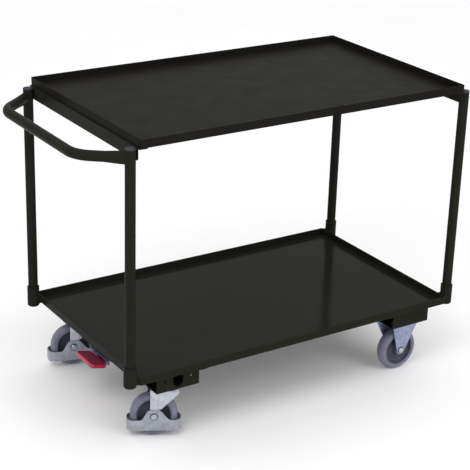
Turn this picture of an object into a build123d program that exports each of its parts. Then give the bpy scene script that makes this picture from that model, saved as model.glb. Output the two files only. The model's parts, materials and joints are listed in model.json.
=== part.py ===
"""Two-deck tubular steel trolley with a push handle, two swivel castors and two fixed castors.

Millimetres. +X points to the front (the fixed castors), +Y to the left and +Z up. The origin is on
the floor, in the middle of the outer box.
"""
from build123d import *
import os
from math import cos, radians, sin, tan

# ---- driving dimensions ------------------------------------------------------------------------
# decks
deck_length = 1000.0
deck_width = 600.0
deck_height = 22.0          # rim top to the lower edge of the folded rim
deck_sheet = 1.5
rim_depth = 18.0            # rim top down to the floor sheet
rim_thickness = 3.0         # two layers of sheet, folded together
deck_corner_r = 5.0
rim_edge_r = 1.2
top_deck_z = 850.0          # rim top of the upper deck

# posts, caps and corner sockets
tube_d = 26.9
tube_wall = 2.0
post_inset = 20.0           # post axis in from the deck's side
post_drop = 26.0            # post's top below the upper rim
cap_head = 4.5
cap_plug = 14.0
cap_rim = 0.3               # cap head proud of the tube
cap_edge_r = 1.8
socket_wall = 3.2
socket_below = 30.5         # socket's underside below the lower rim
socket_above = 27.5         # socket's mouth above the lower rim
socket_floor = 5.0
socket_round = 6.0
socket_lug_width = 28.0
socket_fit = 0.2            # radial play of a post in its socket
socket_end_gap = 1.15       # socket's cup to the deck's end, filled by the lug

# push handle
handle_drop = 47.0          # handle's axis below the upper rim
handle_reach = 105.0        # handle bar's axis beyond the posts' axis
handle_angle = 38.0         # the arms turn inwards from the deck's length by this much
handle_bend_r = 75.0
handle_end_height = 34.0    # flattened tube end
handle_end_width = 18.6
handle_flat = 22.0          # length of the flattened end, from the post's axis
handle_taper = 40.0

# end rails under the upper deck
rail_sheet = 2.5
rail_height = 33.0
rail_depth = 23.0
rail_web_inset = 10.0       # web's end in from the deck's side
rail_flange_inset = 1.0
rail_corner_r = 8.0
rail_weld_gap = 0.4         # web to post, filled by the weld
stud_d = 6.0
stud_play = 0.25            # radial
stud_length = 12.0
stud_nut_af = 10.0
stud_nut_height = 5.0
stud_in = 11.0              # stud axis in from the deck's end
stud_rows = (-220.0, -80.0, 80.0, 220.0)

# pressed ribs under the decks
long_rib_width = 43.0
long_rib_depth = 8.0
rib_console_gap = 28.0      # rib's flange to the console
rib_flange = 10.0
rib_end_gap = 4.0
top_rib_end_gap = 30.0
cross_rib_width = 18.0
cross_rib_depth = 6.5
cross_rib_x = 191.0         # in from the deck's end
cross_rib_inner_gap = 2.0   # to the long rib's flange
cross_rib_outer_gap = 1.0   # to the deck's rim

# castor consoles
console_length = 125.0
console_width = 110.0
console_height = 47.0
console_sheet = 3.0
console_side_gap = 9.0      # console's outer face in from the deck's side
console_x = 117.0           # console's middle in from the deck's end
slot_width = 30.0
slot_floor = 8.5            # slot's lowest point above the console's underside
side_hole_d = 7.0
side_hole_spacing = 77.0
side_hole_z = 30.0          # above the console's underside
web_hole_d = 14.0

# castors
wheel_d = 125.0
plate_over_wheel = 31.0     # castor plate's top above the wheel
tyre_width = 32.0
tyre_depth = 15.5           # rubber's thickness
tyre_shoulder = 7.0         # crown's drop at the tyre's sides
hub_bore_play = 0.05
hub_wall = 12.0             # hub tube's thickness round the bore
hub_web = 10.0
hub_rim = 5.0
hub_gap = 0.3               # hub tube to fork leg
axle_d = 12.0
fork_sheet = 3.0
fork_play = 4.0             # tyre to fork leg
leg_round = 13.0
leg_top_inset = 12.0        # fixed fork's leg in from the plate's end
plate_length = 105.0
plate_margin = 12.5         # hole's axis to the plate's side
plate_sheet = 3.0
plate_corner_r = 8.0
bolt_span_x = 80.0
bolt_d = 8.0
bolt_hole_d = 9.0
bolt_head_af = 13.0
bolt_head_height = 5.3
bolt_leg_gap = 0.5          # nut to fork leg
bolt_nut_height = 6.5
bolt_end = 2.0              # thread beyond the nut
axle_head_d = 19.0
axle_head_height = 5.0
axle_head_edge_r = 1.8
axle_nut_af = 18.0
axle_nut_height = 8.0
trail = 35.0
right_swivel_turn = 62.0    # axle of the right swivel castor, in plan, from the deck's length
left_swivel_turn = 75.0
race_d = 66.0
ball_ring_d = 60.0
ball_ring_height = 5.0
ball_ring_width = 10.0
ball_ring_edge_r = 1.5
race_gap = 0.3
fork_drop = 15.0            # fork's top below the plate's top
fork_front = 30.0           # fork's front edge ahead of the kingpin
fork_lip = 8.0              # height of the leg's upright front edge
kingpin_d = 18.0
kingpin_head_d = 26.0
kingpin_head_height = 5.0
plunger_d = 8.0
running_play = 0.05

# foot guard round each swivel wheel
guard_sheet = 2.0
guard_gap = 7.0             # tyre to guard at the wheel's front and back
guard_corner_r = 20.0
guard_bottom_z = 18.5
guard_drop = 8.5            # band's top edge below the axle
guard_shoulder = 19.0       # guard plate above the axle
guard_crown = 11.2          # half width of the shoulder's top
guard_flare = 38.0          # half width of the shoulder's foot
guard_slope = 0.25
guard_cut_margin = 10.0

# central brake
brake_angle = 28.0
shaft_af = 11.0
shaft_end_gap = 45.0        # shaft's end in from the deck's side
cam_r = 12.0
cam_hub_r = 9.5
cam_throw = 8.5
cam_width = 14.0
plunger_head_d = 30.0
plunger_head_height = 3.0
cam_gap = 0.3
shoe_sheet = 3.0
shoe_side_gap = 0.3
shoe_back = 16.0            # beyond the axle
shoe_front = 12.0           # beyond the kingpin's axis
shoe_corner_r = 5.0
shoe_gap = 0.3              # to the tyre when it is pressed down
lever_sheet = 4.0
lever_hub_r = 11.0
lever_hub_width = 44.0
lever_slope = 23.6
lever_length = 118.0
lever_shoulder = 74.0       # from the shaft's axis to the wide part's back edge
lever_wide = 126.0
lever_wide_depth = 22.0
lever_tongue = 60.0
pad_width = 95.0
pad_length = 48.0
pad_height = 15.0
pad_corner_r = 11.0
pad_edge_r = 3.0
pad_start = 84.0            # pad's back edge from the shaft's axis, along the lever
pad_ribs = 5
pad_rib_height = 1.4
pad_rib_share = 0.45        # rib's width as a share of the pitch
pad_fit = 0.2
bearing_cheek = 3.0
bearing_lip = 3.0
bearing_fit = 0.2

# ---- places worked out from them ---------------------------------------------------------------
tube_r = tube_d / 2
socket_r = tube_r + socket_fit + socket_wall
wheel_r = wheel_d / 2
rim_r = wheel_r - tyre_depth
post_offset = socket_r + socket_end_gap
deck_x = (handle_reach + tube_r - socket_r) / 2
back_x = deck_x - deck_length / 2
front_x = deck_x + deck_length / 2
side_y = deck_width / 2
post_y = side_y - post_inset
under_floor = rim_depth + deck_sheet
castor_height = wheel_d + plate_over_wheel
console_top_z = castor_height + console_height
bottom_deck_z = console_top_z + under_floor
skirt_z = top_deck_z - deck_height
post_top_z = top_deck_z - post_drop
handle_z = top_deck_z - handle_drop
socket_bottom_z = bottom_deck_z - socket_below
socket_top_z = bottom_deck_z + socket_above
console_y = side_y - console_side_gap - console_width / 2
long_rib_y = console_y - console_width / 2 - rib_console_gap - rib_flange - long_rib_width / 2
shaft_x = back_x + console_x
slot_r = slot_width / 2
shaft_z = castor_height + slot_floor + slot_r
shaft_corner_r = shaft_af / 2 / cos(radians(30))
leg_in_y = tyre_width / 2 + fork_play
leg_out_y = leg_in_y + fork_sheet
bolt_span_y = 2 * (leg_out_y + bolt_leg_gap) + bolt_head_af
plate_width = bolt_span_y + 2 * plate_margin
plate_z = castor_height - plate_sheet
fork_top_z = castor_height - fork_drop
fork_under_z = fork_top_z - fork_sheet
lock_travel = cam_throw * sin(radians(brake_angle))
kingpin_bottom_z = fork_under_z - race_gap - kingpin_head_height
shoe_z = wheel_d + shoe_gap + lock_travel
guard_half_length = wheel_r + guard_gap + guard_sheet
guard_top_z = wheel_r - guard_drop
ENDS = {"back": (back_x, -1), "front": (front_x, 1)}
SIDES = {"left": 1, "right": -1}

os.makedirs("parts", exist_ok=True)


def save(piece, name):
    """Label one finished piece and write it as its own STEP file."""
    piece.label = name
    export_step(piece, f"parts/{name}.step")


def upright(base, x=0.0, y=0.0):
    """Upright plane through (x, y) of a castor's own plane: its X rolls forward, its Y is up."""
    return Plane(origin=base.from_local_coords((x, y, 0)), x_dir=base.x_dir, z_dir=-base.y_dir)


def side_plane(y):
    """Upright plane across the deck at y: X forward, Y up, so that its normal points to -Y."""
    return Plane(origin=(0, y, 0), x_dir=(1, 0, 0), z_dir=(0, -1, 0))


def end_plane(x):
    """Upright plane at x, facing the front: X to the left, Y up."""
    return Plane(origin=(x, 0, 0), x_dir=(0, 1, 0), z_dir=(1, 0, 0))


# ---- decks -------------------------------------------------------------------------------------
def make_deck(rim_z):
    """Shallow tray: floor sheet and a folded rim that stands above and below it."""
    floor_z = rim_z - rim_depth
    with BuildPart() as deck:
        with BuildSketch(Plane((deck_x, 0, rim_z - deck_height))):
            RectangleRounded(deck_length, deck_width, deck_corner_r)
        extrude(amount=deck_height)
        inner = (deck_length - 2 * rim_thickness, deck_width - 2 * rim_thickness)
        inner_r = deck_corner_r - rim_thickness
        with BuildSketch(Plane((deck_x, 0, floor_z))):
            RectangleRounded(*inner, inner_r)
        extrude(amount=rim_depth, mode=Mode.SUBTRACT)
        with BuildSketch(Plane((deck_x, 0, rim_z - deck_height))):
            RectangleRounded(*inner, inner_r)
        extrude(amount=deck_height - under_floor, mode=Mode.SUBTRACT)
        rim_edges = deck.edges().group_by(Axis.Z)[-1]
        fillet(rim_edges, rim_edge_r)
    return deck.part


save(make_deck(top_deck_z), "top_deck")
save(make_deck(bottom_deck_z), "bottom_deck")


def make_long_ribs(under_z, end_gap):
    """Two pressed hat ribs along the deck, open side up against the floor sheet."""
    with BuildPart() as ribs:
        with BuildSketch(end_plane(back_x + end_gap)):
            with Locations((-long_rib_y, under_z), (long_rib_y, under_z)):
                Rectangle(long_rib_width + 2 * rib_flange, deck_sheet, align=(Align.CENTER, Align.MAX))
                Rectangle(long_rib_width, long_rib_depth, align=(Align.CENTER, Align.MAX))
                Rectangle(long_rib_width - 2 * deck_sheet, long_rib_depth - deck_sheet,
                          align=(Align.CENTER, Align.MAX), mode=Mode.SUBTRACT)
        extrude(amount=deck_length - 2 * end_gap)
    return ribs.part


save(make_long_ribs(top_deck_z - under_floor, top_rib_end_gap), "top_long_ribs")
save(make_long_ribs(console_top_z, rib_end_gap), "bottom_long_ribs")

# short channels between the long ribs and the deck's sides, beside each console
cross_rib_start = long_rib_y + long_rib_width / 2 + rib_flange + cross_rib_inner_gap
cross_rib_length = side_y - rim_thickness - cross_rib_outer_gap - cross_rib_start
cross_rib_mid_y = cross_rib_start + cross_rib_length / 2
cross_rib_mid_x = deck_length / 2 - cross_rib_x
with BuildPart() as bottom_cross_ribs:
    with BuildSketch(Plane((deck_x, 0, console_top_z - cross_rib_depth))):
        with GridLocations(2 * cross_rib_mid_x, 2 * cross_rib_mid_y, 2, 2):
            Rectangle(cross_rib_width, cross_rib_length)
    extrude(amount=cross_rib_depth)
    with BuildSketch(Plane((deck_x, 0, console_top_z - cross_rib_depth + deck_sheet))):
        with GridLocations(2 * cross_rib_mid_x, 2 * cross_rib_mid_y, 2, 2):
            Rectangle(cross_rib_width - 2 * deck_sheet, cross_rib_length)
    extrude(amount=cross_rib_depth - deck_sheet, mode=Mode.SUBTRACT)
save(bottom_cross_ribs.part, "bottom_cross_ribs")

# ---- end rails under the upper deck ------------------------------------------------------------
stud_x = deck_length / 2 - stud_in


def make_rail(end_x, out):
    """Folded angle: its flange carries the deck, its web is welded to the posts."""
    web_x = end_x + out * (post_offset - tube_r - rail_weld_gap)
    web_length = deck_width - 2 * rail_web_inset
    flange_length = deck_width - 2 * rail_flange_inset
    with BuildPart() as rail:
        with BuildSketch(end_plane(web_x)) as web:
            with Locations((0, skirt_z)):
                Rectangle(web_length, rail_height, align=(Align.CENTER, Align.MAX))
            fillet(web.vertices().group_by(Axis.Z)[0], rail_corner_r)
        extrude(amount=-out * rail_sheet)
        with BuildSketch(Plane((web_x - out * rail_depth / 2, 0, skirt_z))):
            Rectangle(rail_depth, flange_length)
        extrude(amount=-rail_sheet)
        with BuildSketch(Plane((end_x - out * stud_in, 0, skirt_z))):
            with Locations(*[(0, y) for y in stud_rows]):
                Circle(stud_d / 2 + stud_play)
        extrude(amount=-rail_sheet, mode=Mode.SUBTRACT)
    return rail.part


for end, (end_x, out) in ENDS.items():
    save(make_rail(end_x, out), f"top_rail_{end}")

stud_places = [(side * stud_x, y) for side in (-1, 1) for y in stud_rows]
with BuildPart() as rail_studs:
    with BuildSketch(Plane((deck_x, 0, top_deck_z - under_floor))):
        with Locations(*stud_places):
            Circle(stud_d / 2)
    extrude(amount=-stud_length)
save(rail_studs.part, "rail_studs")

with BuildPart() as rail_nuts:
    with BuildSketch(Plane((deck_x, 0, skirt_z - rail_sheet))):
        with Locations(*stud_places):
            RegularPolygon(stud_nut_af / 2, 6, major_radius=False)
            Circle(stud_d / 2, mode=Mode.SUBTRACT)
    extrude(amount=-stud_nut_height)
save(rail_nuts.part, "rail_nuts")

# ---- posts, caps and corner sockets ------------------------------------------------------------
socket_seat_z = socket_bottom_z + socket_floor
post_places = {
    f"{end}_{side}": (end_x + out * post_offset, sign * post_y, out)
    for end, (end_x, out) in ENDS.items() for side, sign in SIDES.items()
}


def make_post(x, y):
    """Round tube from the socket's floor to the cap."""
    with BuildPart() as post:
        with BuildSketch(Plane((x, y, socket_seat_z))):
            Circle(tube_r)
            Circle(tube_r - tube_wall, mode=Mode.SUBTRACT)
        extrude(amount=post_top_z - socket_seat_z)
    return post.part


def make_socket(x, y, out):
    """Closed cup for a post, with a lug that is welded to the lower deck's end."""
    with BuildPart() as socket:
        with BuildSketch(Plane((x, y, socket_bottom_z))):
            Circle(socket_r)
        extrude(amount=socket_top_z - socket_bottom_z)
        fillet(socket.edges().group_by(Axis.Z)[0], socket_round)
        with BuildSketch(Plane((x - out * post_offset / 2, y, bottom_deck_z - deck_height))):
            Rectangle(post_offset, socket_lug_width)
        extrude(amount=deck_height)
        with BuildSketch(Plane((x, y, socket_seat_z))):
            Circle(tube_r + socket_fit)
        extrude(amount=socket_top_z - socket_seat_z, mode=Mode.SUBTRACT)
    return socket.part


for corner, (x, y, out) in post_places.items():
    save(make_post(x, y), f"post_{corner}")
    save(make_socket(x, y, out), f"corner_socket_{corner}")

with BuildPart() as post_caps:
    for x, y, out in post_places.values():
        with BuildSketch(Plane((x, y, post_top_z))):
            Circle(tube_r + cap_rim)
        extrude(amount=cap_head)
    fillet(post_caps.edges().group_by(Axis.Z)[-1], cap_edge_r)
    for x, y, out in post_places.values():
        with BuildSketch(Plane((x, y, post_top_z))):
            Circle(tube_r - tube_wall)
        extrude(amount=-cap_plug)
save(post_caps.part, "post_caps")

# ---- push handle -------------------------------------------------------------------------------
post_x = back_x - post_offset
bar_x = post_x - handle_reach
elbow_y = post_y - handle_reach * tan(radians(handle_angle))
arm_dir = Vector(-cos(radians(handle_angle)), sin(radians(handle_angle)), 0)
arm_start = Vector(post_x, -post_y, handle_z)


def arm_plane(distance):
    """Plane across the right arm, this far from the post's axis: its X is up."""
    return Plane(origin=arm_start + arm_dir * distance, x_dir=(0, 0, 1), z_dir=arm_dir)


tube_start = arm_start + arm_dir * (handle_flat + handle_taper)
with BuildPart() as push_handle:
    with BuildLine(Plane.XY.offset(handle_z)) as handle_line:
        FilletPolyline((tube_start.X, tube_start.Y), (bar_x, -elbow_y), (bar_x, elbow_y),
                       (tube_start.X, -tube_start.Y), radius=handle_bend_r)
    with BuildSketch(arm_plane(handle_flat + handle_taper)):
        Circle(tube_r)
        Circle(tube_r - tube_wall, mode=Mode.SUBTRACT)
    sweep()
    with BuildPart(mode=Mode.PRIVATE) as arm_end:
        with BuildSketch(arm_plane(0)):
            Ellipse(handle_end_height / 2, handle_end_width / 2)
        extrude(amount=handle_flat)
        with BuildSketch(arm_plane(handle_flat)):
            Ellipse(handle_end_height / 2, handle_end_width / 2)
        with BuildSketch(arm_plane(handle_flat + handle_taper)):
            Circle(tube_r)
        loft()
    add(arm_end.part)
    add(mirror(arm_end.part, about=Plane.XZ, mode=Mode.PRIVATE))
    with BuildSketch(Plane((0, 0, handle_z - handle_end_height))):
        with Locations((post_x, -post_y), (post_x, post_y)):
            Circle(tube_r)
    extrude(amount=2 * handle_end_height, mode=Mode.SUBTRACT)
save(push_handle.part, "push_handle")


# ---- castor consoles ---------------------------------------------------------------------------
def make_console(x, y, slotted):
    """U-shaped bracket, open towards both deck ends, that carries one castor's plate."""
    with BuildPart() as console:
        with BuildSketch(end_plane(x - console_length / 2)) as outline:
            with Locations((y, castor_height)):
                Rectangle(console_width, console_height, align=(Align.CENTER, Align.MIN))
            fillet(outline.vertices().group_by(Axis.Z)[0], console_sheet)
            with Locations((y, castor_height + console_sheet)):
                Rectangle(console_width - 2 * console_sheet, console_height,
                          align=(Align.CENTER, Align.MIN), mode=Mode.SUBTRACT)
        extrude(amount=console_length)
        with BuildSketch(Plane((x, y, castor_height))):
            with GridLocations(bolt_span_x, bolt_span_y, 2, 2):
                Circle(bolt_hole_d / 2)
            if slotted:
                Circle(web_hole_d / 2)
        extrude(amount=2 * console_sheet, mode=Mode.SUBTRACT)
        if slotted:
            with BuildSketch(side_plane(y + console_width / 2)):
                with Locations((x, shaft_z)):
                    Circle(slot_r)
                    Rectangle(slot_width, console_height, align=(Align.CENTER, Align.MIN))
                with Locations((x, castor_height + side_hole_z)):
                    with GridLocations(side_hole_spacing, 0, 2, 1):
                        Circle(side_hole_d / 2)
            extrude(amount=console_width, mode=Mode.SUBTRACT)
    return console.part


castor_places = {
    f"{end}_{side}": (end_x - out * console_x, sign * console_y)
    for end, (end_x, out) in ENDS.items() for side, sign in SIDES.items()
}
for corner, (x, y) in castor_places.items():
    save(make_console(x, y, slotted=corner.startswith("back")), f"console_{corner}")

bolt_places = [
    (x + dx, y + dy)
    for x, y in castor_places.values()
    for dx in (-bolt_span_x / 2, bolt_span_x / 2) for dy in (-bolt_span_y / 2, bolt_span_y / 2)
]
bolt_top_z = castor_height + console_sheet
bolt_bottom_z = plate_z - bolt_nut_height - bolt_end
with BuildPart() as console_bolts:
    with BuildSketch(Plane.XY.offset(bolt_top_z)):
        with Locations(*bolt_places):
            RegularPolygon(bolt_head_af / 2, 6, major_radius=False)
    extrude(amount=bolt_head_height)
    with BuildSketch(Plane.XY.offset(bolt_bottom_z)):
        with Locations(*bolt_places):
            Circle(bolt_d / 2)
    extrude(amount=bolt_top_z - bolt_bottom_z)
save(console_bolts.part, "console_bolts")

with BuildPart() as console_nuts:
    with BuildSketch(Plane.XY.offset(plate_z)):
        with Locations(*bolt_places):
            RegularPolygon(bolt_head_af / 2, 6, major_radius=False)
            Circle(bolt_d / 2, mode=Mode.SUBTRACT)
    extrude(amount=-bolt_nut_height)
save(console_nuts.part, "console_nuts")


# ---- wheels, used on all four castors ----------------------------------------------------------
def make_tyre(base, x):
    """Crowned rubber ring round the wheel's rim."""
    half = tyre_width / 2
    shoulder_r = wheel_r - tyre_shoulder
    with BuildPart() as tyre:
        with BuildSketch(Plane(origin=base.from_local_coords((x, 0, wheel_r)), x_dir=base.y_dir,
                               z_dir=base.x_dir)):
            with BuildLine():
                Polyline((-half, rim_r), (-half, shoulder_r))
                ThreePointArc((-half, shoulder_r), (0, wheel_r), (half, shoulder_r))
                Polyline((half, shoulder_r), (half, rim_r), (-half, rim_r))
            make_face()
        revolve(axis=Axis(base.from_local_coords((x, 0, wheel_r)), base.y_dir))
    return tyre.part


def make_hub(base, x):
    """Moulded wheel body: rim, dished web and a hub tube with the axle's bore."""
    bore_r = axle_d / 2 + hub_bore_play
    with BuildPart() as hub:
        with BuildSketch(Plane(origin=base.from_local_coords((x, 0, wheel_r)), x_dir=base.y_dir,
                               z_dir=base.x_dir)):
            with Locations((0, bore_r)):
                Rectangle(2 * (leg_in_y - hub_gap), hub_wall, align=(Align.CENTER, Align.MIN))
                Rectangle(hub_web, rim_r - bore_r, align=(Align.CENTER, Align.MIN))
            with Locations((0, rim_r)):
                Rectangle(tyre_width, hub_rim, align=(Align.CENTER, Align.MAX))
        revolve(axis=Axis(base.from_local_coords((x, 0, wheel_r)), base.y_dir))
    return hub.part


def make_axle_bolt(base, x, grip):
    """Axle bolt with a round head on the castor's right and thread beyond the nut on its left."""
    with BuildPart() as bolt:
        with BuildSketch(upright(base, x, -grip)):
            with Locations((0, wheel_r)):
                Circle(axle_head_d / 2)
        extrude(amount=axle_head_height)
        fillet(bolt.edges().filter_by(GeomType.CIRCLE).sort_by(
            Axis(base.origin, base.y_dir))[0], axle_head_edge_r)
        with BuildSketch(upright(base, x, -grip)):
            with Locations((0, wheel_r)):
                Circle(axle_d / 2)
        extrude(amount=-(2 * grip + axle_nut_height + bolt_end))
    return bolt.part


def make_axle_nut(base, x, grip):
    """Hexagon nut on the axle's left end."""
    with BuildPart() as nut:
        with BuildSketch(upright(base, x, grip)):
            with Locations((0, wheel_r)):
                RegularPolygon(axle_nut_af / 2, 6, major_radius=False)
                Circle(axle_d / 2, mode=Mode.SUBTRACT)
        extrude(amount=-axle_nut_height)
    return nut.part


def cut_bolt_holes():
    """Four holes of the castor plate, as a sketch on the current plane."""
    with GridLocations(bolt_span_x, bolt_span_y, 2, 2):
        Circle(bolt_hole_d / 2, mode=Mode.SUBTRACT)


# ---- fixed castors -----------------------------------------------------------------------------
def make_fixed_fork(base):
    """Pressed fork of a fixed castor: top plate and two tapering legs."""
    top_half = plate_length / 2 - leg_top_inset
    with BuildPart() as fork:
        with BuildSketch(Plane(base.from_local_coords((0, 0, plate_z)))):
            RectangleRounded(plate_length, plate_width, plate_corner_r)
            cut_bolt_holes()
        extrude(amount=plate_sheet)
        with BuildSketch(upright(base, 0, leg_out_y)):
            with BuildLine():
                Polyline((-leg_round, wheel_r), (-top_half, plate_z), (top_half, plate_z),
                         (leg_round, wheel_r))
                ThreePointArc((leg_round, wheel_r), (0, wheel_r - leg_round), (-leg_round, wheel_r))
            make_face()
            with Locations((0, wheel_r)):
                Circle(axle_d / 2 + hub_bore_play, mode=Mode.SUBTRACT)
        extrude(amount=2 * leg_out_y)
        with BuildSketch(Plane(base.from_local_coords((0, 0, 0)))):
            Rectangle(plate_length, 2 * leg_in_y)
        extrude(amount=plate_z, mode=Mode.SUBTRACT)
    return fork.part


fixed_bolts = []
fixed_nuts = []
for side in SIDES:
    x, y = castor_places[f"front_{side}"]
    base = Plane((x, y, 0))
    save(make_fixed_fork(base), f"fixed_fork_{side}")
    save(make_hub(base, 0), f"wheel_hub_front_{side}")
    save(make_tyre(base, 0), f"tyre_front_{side}")
    fixed_bolts.append(make_axle_bolt(base, 0, leg_out_y))
    fixed_nuts.append(make_axle_nut(base, 0, leg_out_y))

with BuildPart() as fixed_axle_bolts:
    add(fixed_bolts)
save(fixed_axle_bolts.part, "fixed_axle_bolts")
with BuildPart() as fixed_axle_nuts:
    add(fixed_nuts)
save(fixed_axle_nuts.part, "fixed_axle_nuts")


# ---- swivel castors ----------------------------------------------------------------------------
def make_swivel_plate(x, y):
    """Top plate with the upper ball race pressed into it."""
    race_bottom_z = fork_top_z + ball_ring_height + race_gap
    with BuildPart() as plate:
        with BuildSketch(Plane((x, y, plate_z))):
            RectangleRounded(plate_length, plate_width, plate_corner_r)
            cut_bolt_holes()
        extrude(amount=plate_sheet)
        with BuildSketch(Plane((x, y, race_bottom_z))):
            Circle(race_d / 2)
        extrude(amount=plate_z - race_bottom_z)
        with BuildSketch(Plane((x, y, race_bottom_z))):
            Circle(kingpin_d / 2 + running_play)
        extrude(amount=castor_height - race_bottom_z, mode=Mode.SUBTRACT)
    return plate.part


def make_swivel_fork(base):
    """Pressed fork: round top, legs that lean back to the axle, a hole for the kingpin."""
    back = -trail - leg_round
    with BuildPart() as fork:
        with BuildSketch(upright(base, 0, leg_out_y)):
            with BuildLine():
                Polyline((back, wheel_r), (back, fork_top_z), (fork_front, fork_top_z),
                         (fork_front, fork_under_z - fork_lip), (-trail + leg_round, wheel_r))
                ThreePointArc((-trail + leg_round, wheel_r), (-trail, wheel_r - leg_round),
                              (back, wheel_r))
            make_face()
            with Locations((-trail, wheel_r)):
                Circle(axle_d / 2 + hub_bore_play, mode=Mode.SUBTRACT)
        extrude(amount=2 * leg_out_y)
        with BuildSketch(Plane(base.from_local_coords((0, 0, 0)), x_dir=base.x_dir, z_dir=(0, 0, 1))):
            Rectangle(4 * wheel_r, 2 * leg_in_y)
        extrude(amount=fork_under_z, mode=Mode.SUBTRACT)
        with BuildSketch(Plane(base.from_local_coords((0, 0, fork_under_z)))):
            Circle(race_d / 2)
        extrude(amount=fork_sheet)
        with BuildSketch(Plane(base.from_local_coords((0, 0, fork_under_z)))):
            Circle(kingpin_d / 2 + running_play)
        extrude(amount=fork_sheet, mode=Mode.SUBTRACT)
    return fork.part


def make_kingpins():
    """Hollow rivets that hold the swivel forks up against their plates."""
    with BuildPart() as pins:
        for side in SIDES:
            x, y = castor_places[f"back_{side}"]
            with BuildSketch(Plane((x, y, kingpin_bottom_z))):
                Circle(kingpin_head_d / 2)
            extrude(amount=kingpin_head_height)
            with BuildSketch(Plane((x, y, kingpin_bottom_z))):
                Circle(kingpin_d / 2)
            extrude(amount=castor_height - kingpin_bottom_z)
            with BuildSketch(Plane((x, y, kingpin_bottom_z))):
                Circle(plunger_d / 2 + running_play)
            extrude(amount=castor_height - kingpin_bottom_z, mode=Mode.SUBTRACT)
    return pins.part


def make_ball_ring(x, y):
    """Ball cage that runs between the fork's top and the plate's race."""
    with BuildPart() as ring:
        with BuildSketch(Plane((x, y, fork_top_z))):
            Circle(ball_ring_d / 2)
            Circle(ball_ring_d / 2 - ball_ring_width, mode=Mode.SUBTRACT)
        extrude(amount=ball_ring_height)
        fillet(ring.edges().group_by(Axis.Z)[-1], ball_ring_edge_r)
    return ring.part


def make_foot_guard(base):
    """Band that loops round the lower wheel, with a shoulder on each side up to the axle."""
    half_width = leg_out_y + guard_sheet
    shoulder_z = wheel_r + guard_shoulder
    mid = Plane(base.from_local_coords((-trail, 0, guard_bottom_z)), x_dir=base.x_dir, z_dir=(0, 0, 1))
    cut_top_z = shoulder_z + guard_cut_margin
    with BuildPart() as guard:
        with BuildSketch(mid):
            RectangleRounded(2 * guard_half_length, 2 * half_width, guard_corner_r)
            RectangleRounded(2 * (guard_half_length - guard_sheet), 2 * (half_width - guard_sheet),
                             guard_corner_r - guard_sheet, mode=Mode.SUBTRACT)
        extrude(amount=shoulder_z - guard_bottom_z)
        for way in (-1, 1):
            far = way * (guard_half_length + guard_sheet)
            flare = way * guard_flare
            crown = way * guard_crown
            with BuildSketch(upright(base, -trail, 2 * half_width)):
                with BuildLine():
                    Spline((flare, guard_top_z), (crown, shoulder_z),
                           tangents=((-way, guard_slope), (-way, guard_slope)))
                    Polyline((crown, shoulder_z), (crown, cut_top_z), (far, cut_top_z),
                             (far, guard_top_z), (flare, guard_top_z))
                make_face()
            extrude(amount=4 * half_width, mode=Mode.SUBTRACT)
        with BuildSketch(upright(base, -trail, half_width)):
            with Locations((0, wheel_r)):
                Circle(axle_d / 2 + hub_bore_play)
        extrude(amount=2 * half_width, mode=Mode.SUBTRACT)
    return guard.part


def make_brake_shoe(base):
    """Flat shoe between the fork legs, above the tyre, that the plunger pushes down."""
    length = trail + shoe_back + shoe_front
    start = Plane(base.from_local_coords((-trail - shoe_back + length / 2, 0, shoe_z)),
                  x_dir=base.x_dir, z_dir=(0, 0, 1))
    with BuildPart() as shoe:
        with BuildSketch(start):
            RectangleRounded(length, 2 * (leg_in_y - shoe_side_gap), shoe_corner_r)
        extrude(amount=shoe_sheet)
    return shoe.part


head_top_z = shaft_z - cam_r - cam_gap


def make_plunger(x, y):
    """Push rod through the kingpin, with a wide head under the cam."""
    foot_z = shoe_z + shoe_sheet + shoe_gap
    with BuildPart() as plunger:
        with BuildSketch(Plane((x, y, foot_z))):
            Circle(plunger_d / 2)
        extrude(amount=head_top_z - foot_z)
        with BuildSketch(Plane((x, y, head_top_z))):
            Circle(plunger_head_d / 2)
        extrude(amount=-plunger_head_height)
    return plunger.part


swivel_turns = {"left": left_swivel_turn, "right": right_swivel_turn}
save(make_kingpins(), "kingpins")
for side, turn in swivel_turns.items():
    x, y = castor_places[f"back_{side}"]
    roll = turn - 90.0
    base = Plane((x, y, 0), x_dir=(cos(radians(roll)), sin(radians(roll)), 0), z_dir=(0, 0, 1))
    grip = leg_out_y + guard_sheet
    save(make_swivel_plate(x, y), f"swivel_plate_{side}")
    save(make_swivel_fork(base), f"swivel_fork_{side}")
    save(make_ball_ring(x, y), f"ball_ring_{side}")
    save(make_foot_guard(base), f"foot_guard_{side}")
    save(make_axle_bolt(base, -trail, grip), f"axle_bolt_back_{side}")
    save(make_axle_nut(base, -trail, grip), f"axle_nut_back_{side}")
    save(make_hub(base, -trail), f"wheel_hub_back_{side}")
    save(make_tyre(base, -trail), f"tyre_back_{side}")
    save(make_brake_shoe(base), f"brake_shoe_{side}")
    save(make_plunger(x, y), f"brake_plunger_{side}")

# ---- central brake -----------------------------------------------------------------------------
shaft_half = side_y - shaft_end_gap
with BuildPart() as brake_shaft:
    with BuildSketch(side_plane(shaft_half)):
        with Locations((shaft_x, shaft_z)):
            RegularPolygon(shaft_af / 2, 6, major_radius=False)
    extrude(amount=2 * shaft_half)
save(brake_shaft.part, "brake_shaft")

with BuildPart() as brake_cams:
    for sign in SIDES.values():
        with BuildSketch(side_plane(sign * console_y + cam_width / 2)):
            with Locations((shaft_x, shaft_z)):
                Circle(cam_hub_r)
            with Locations((shaft_x - cam_throw, shaft_z)):
                Circle(cam_r)
            with Locations((shaft_x, shaft_z)):
                RegularPolygon(shaft_af / 2 + running_play, 6, major_radius=False, mode=Mode.SUBTRACT)
        extrude(amount=cam_width)
save(brake_cams.part, "brake_cams")

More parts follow.
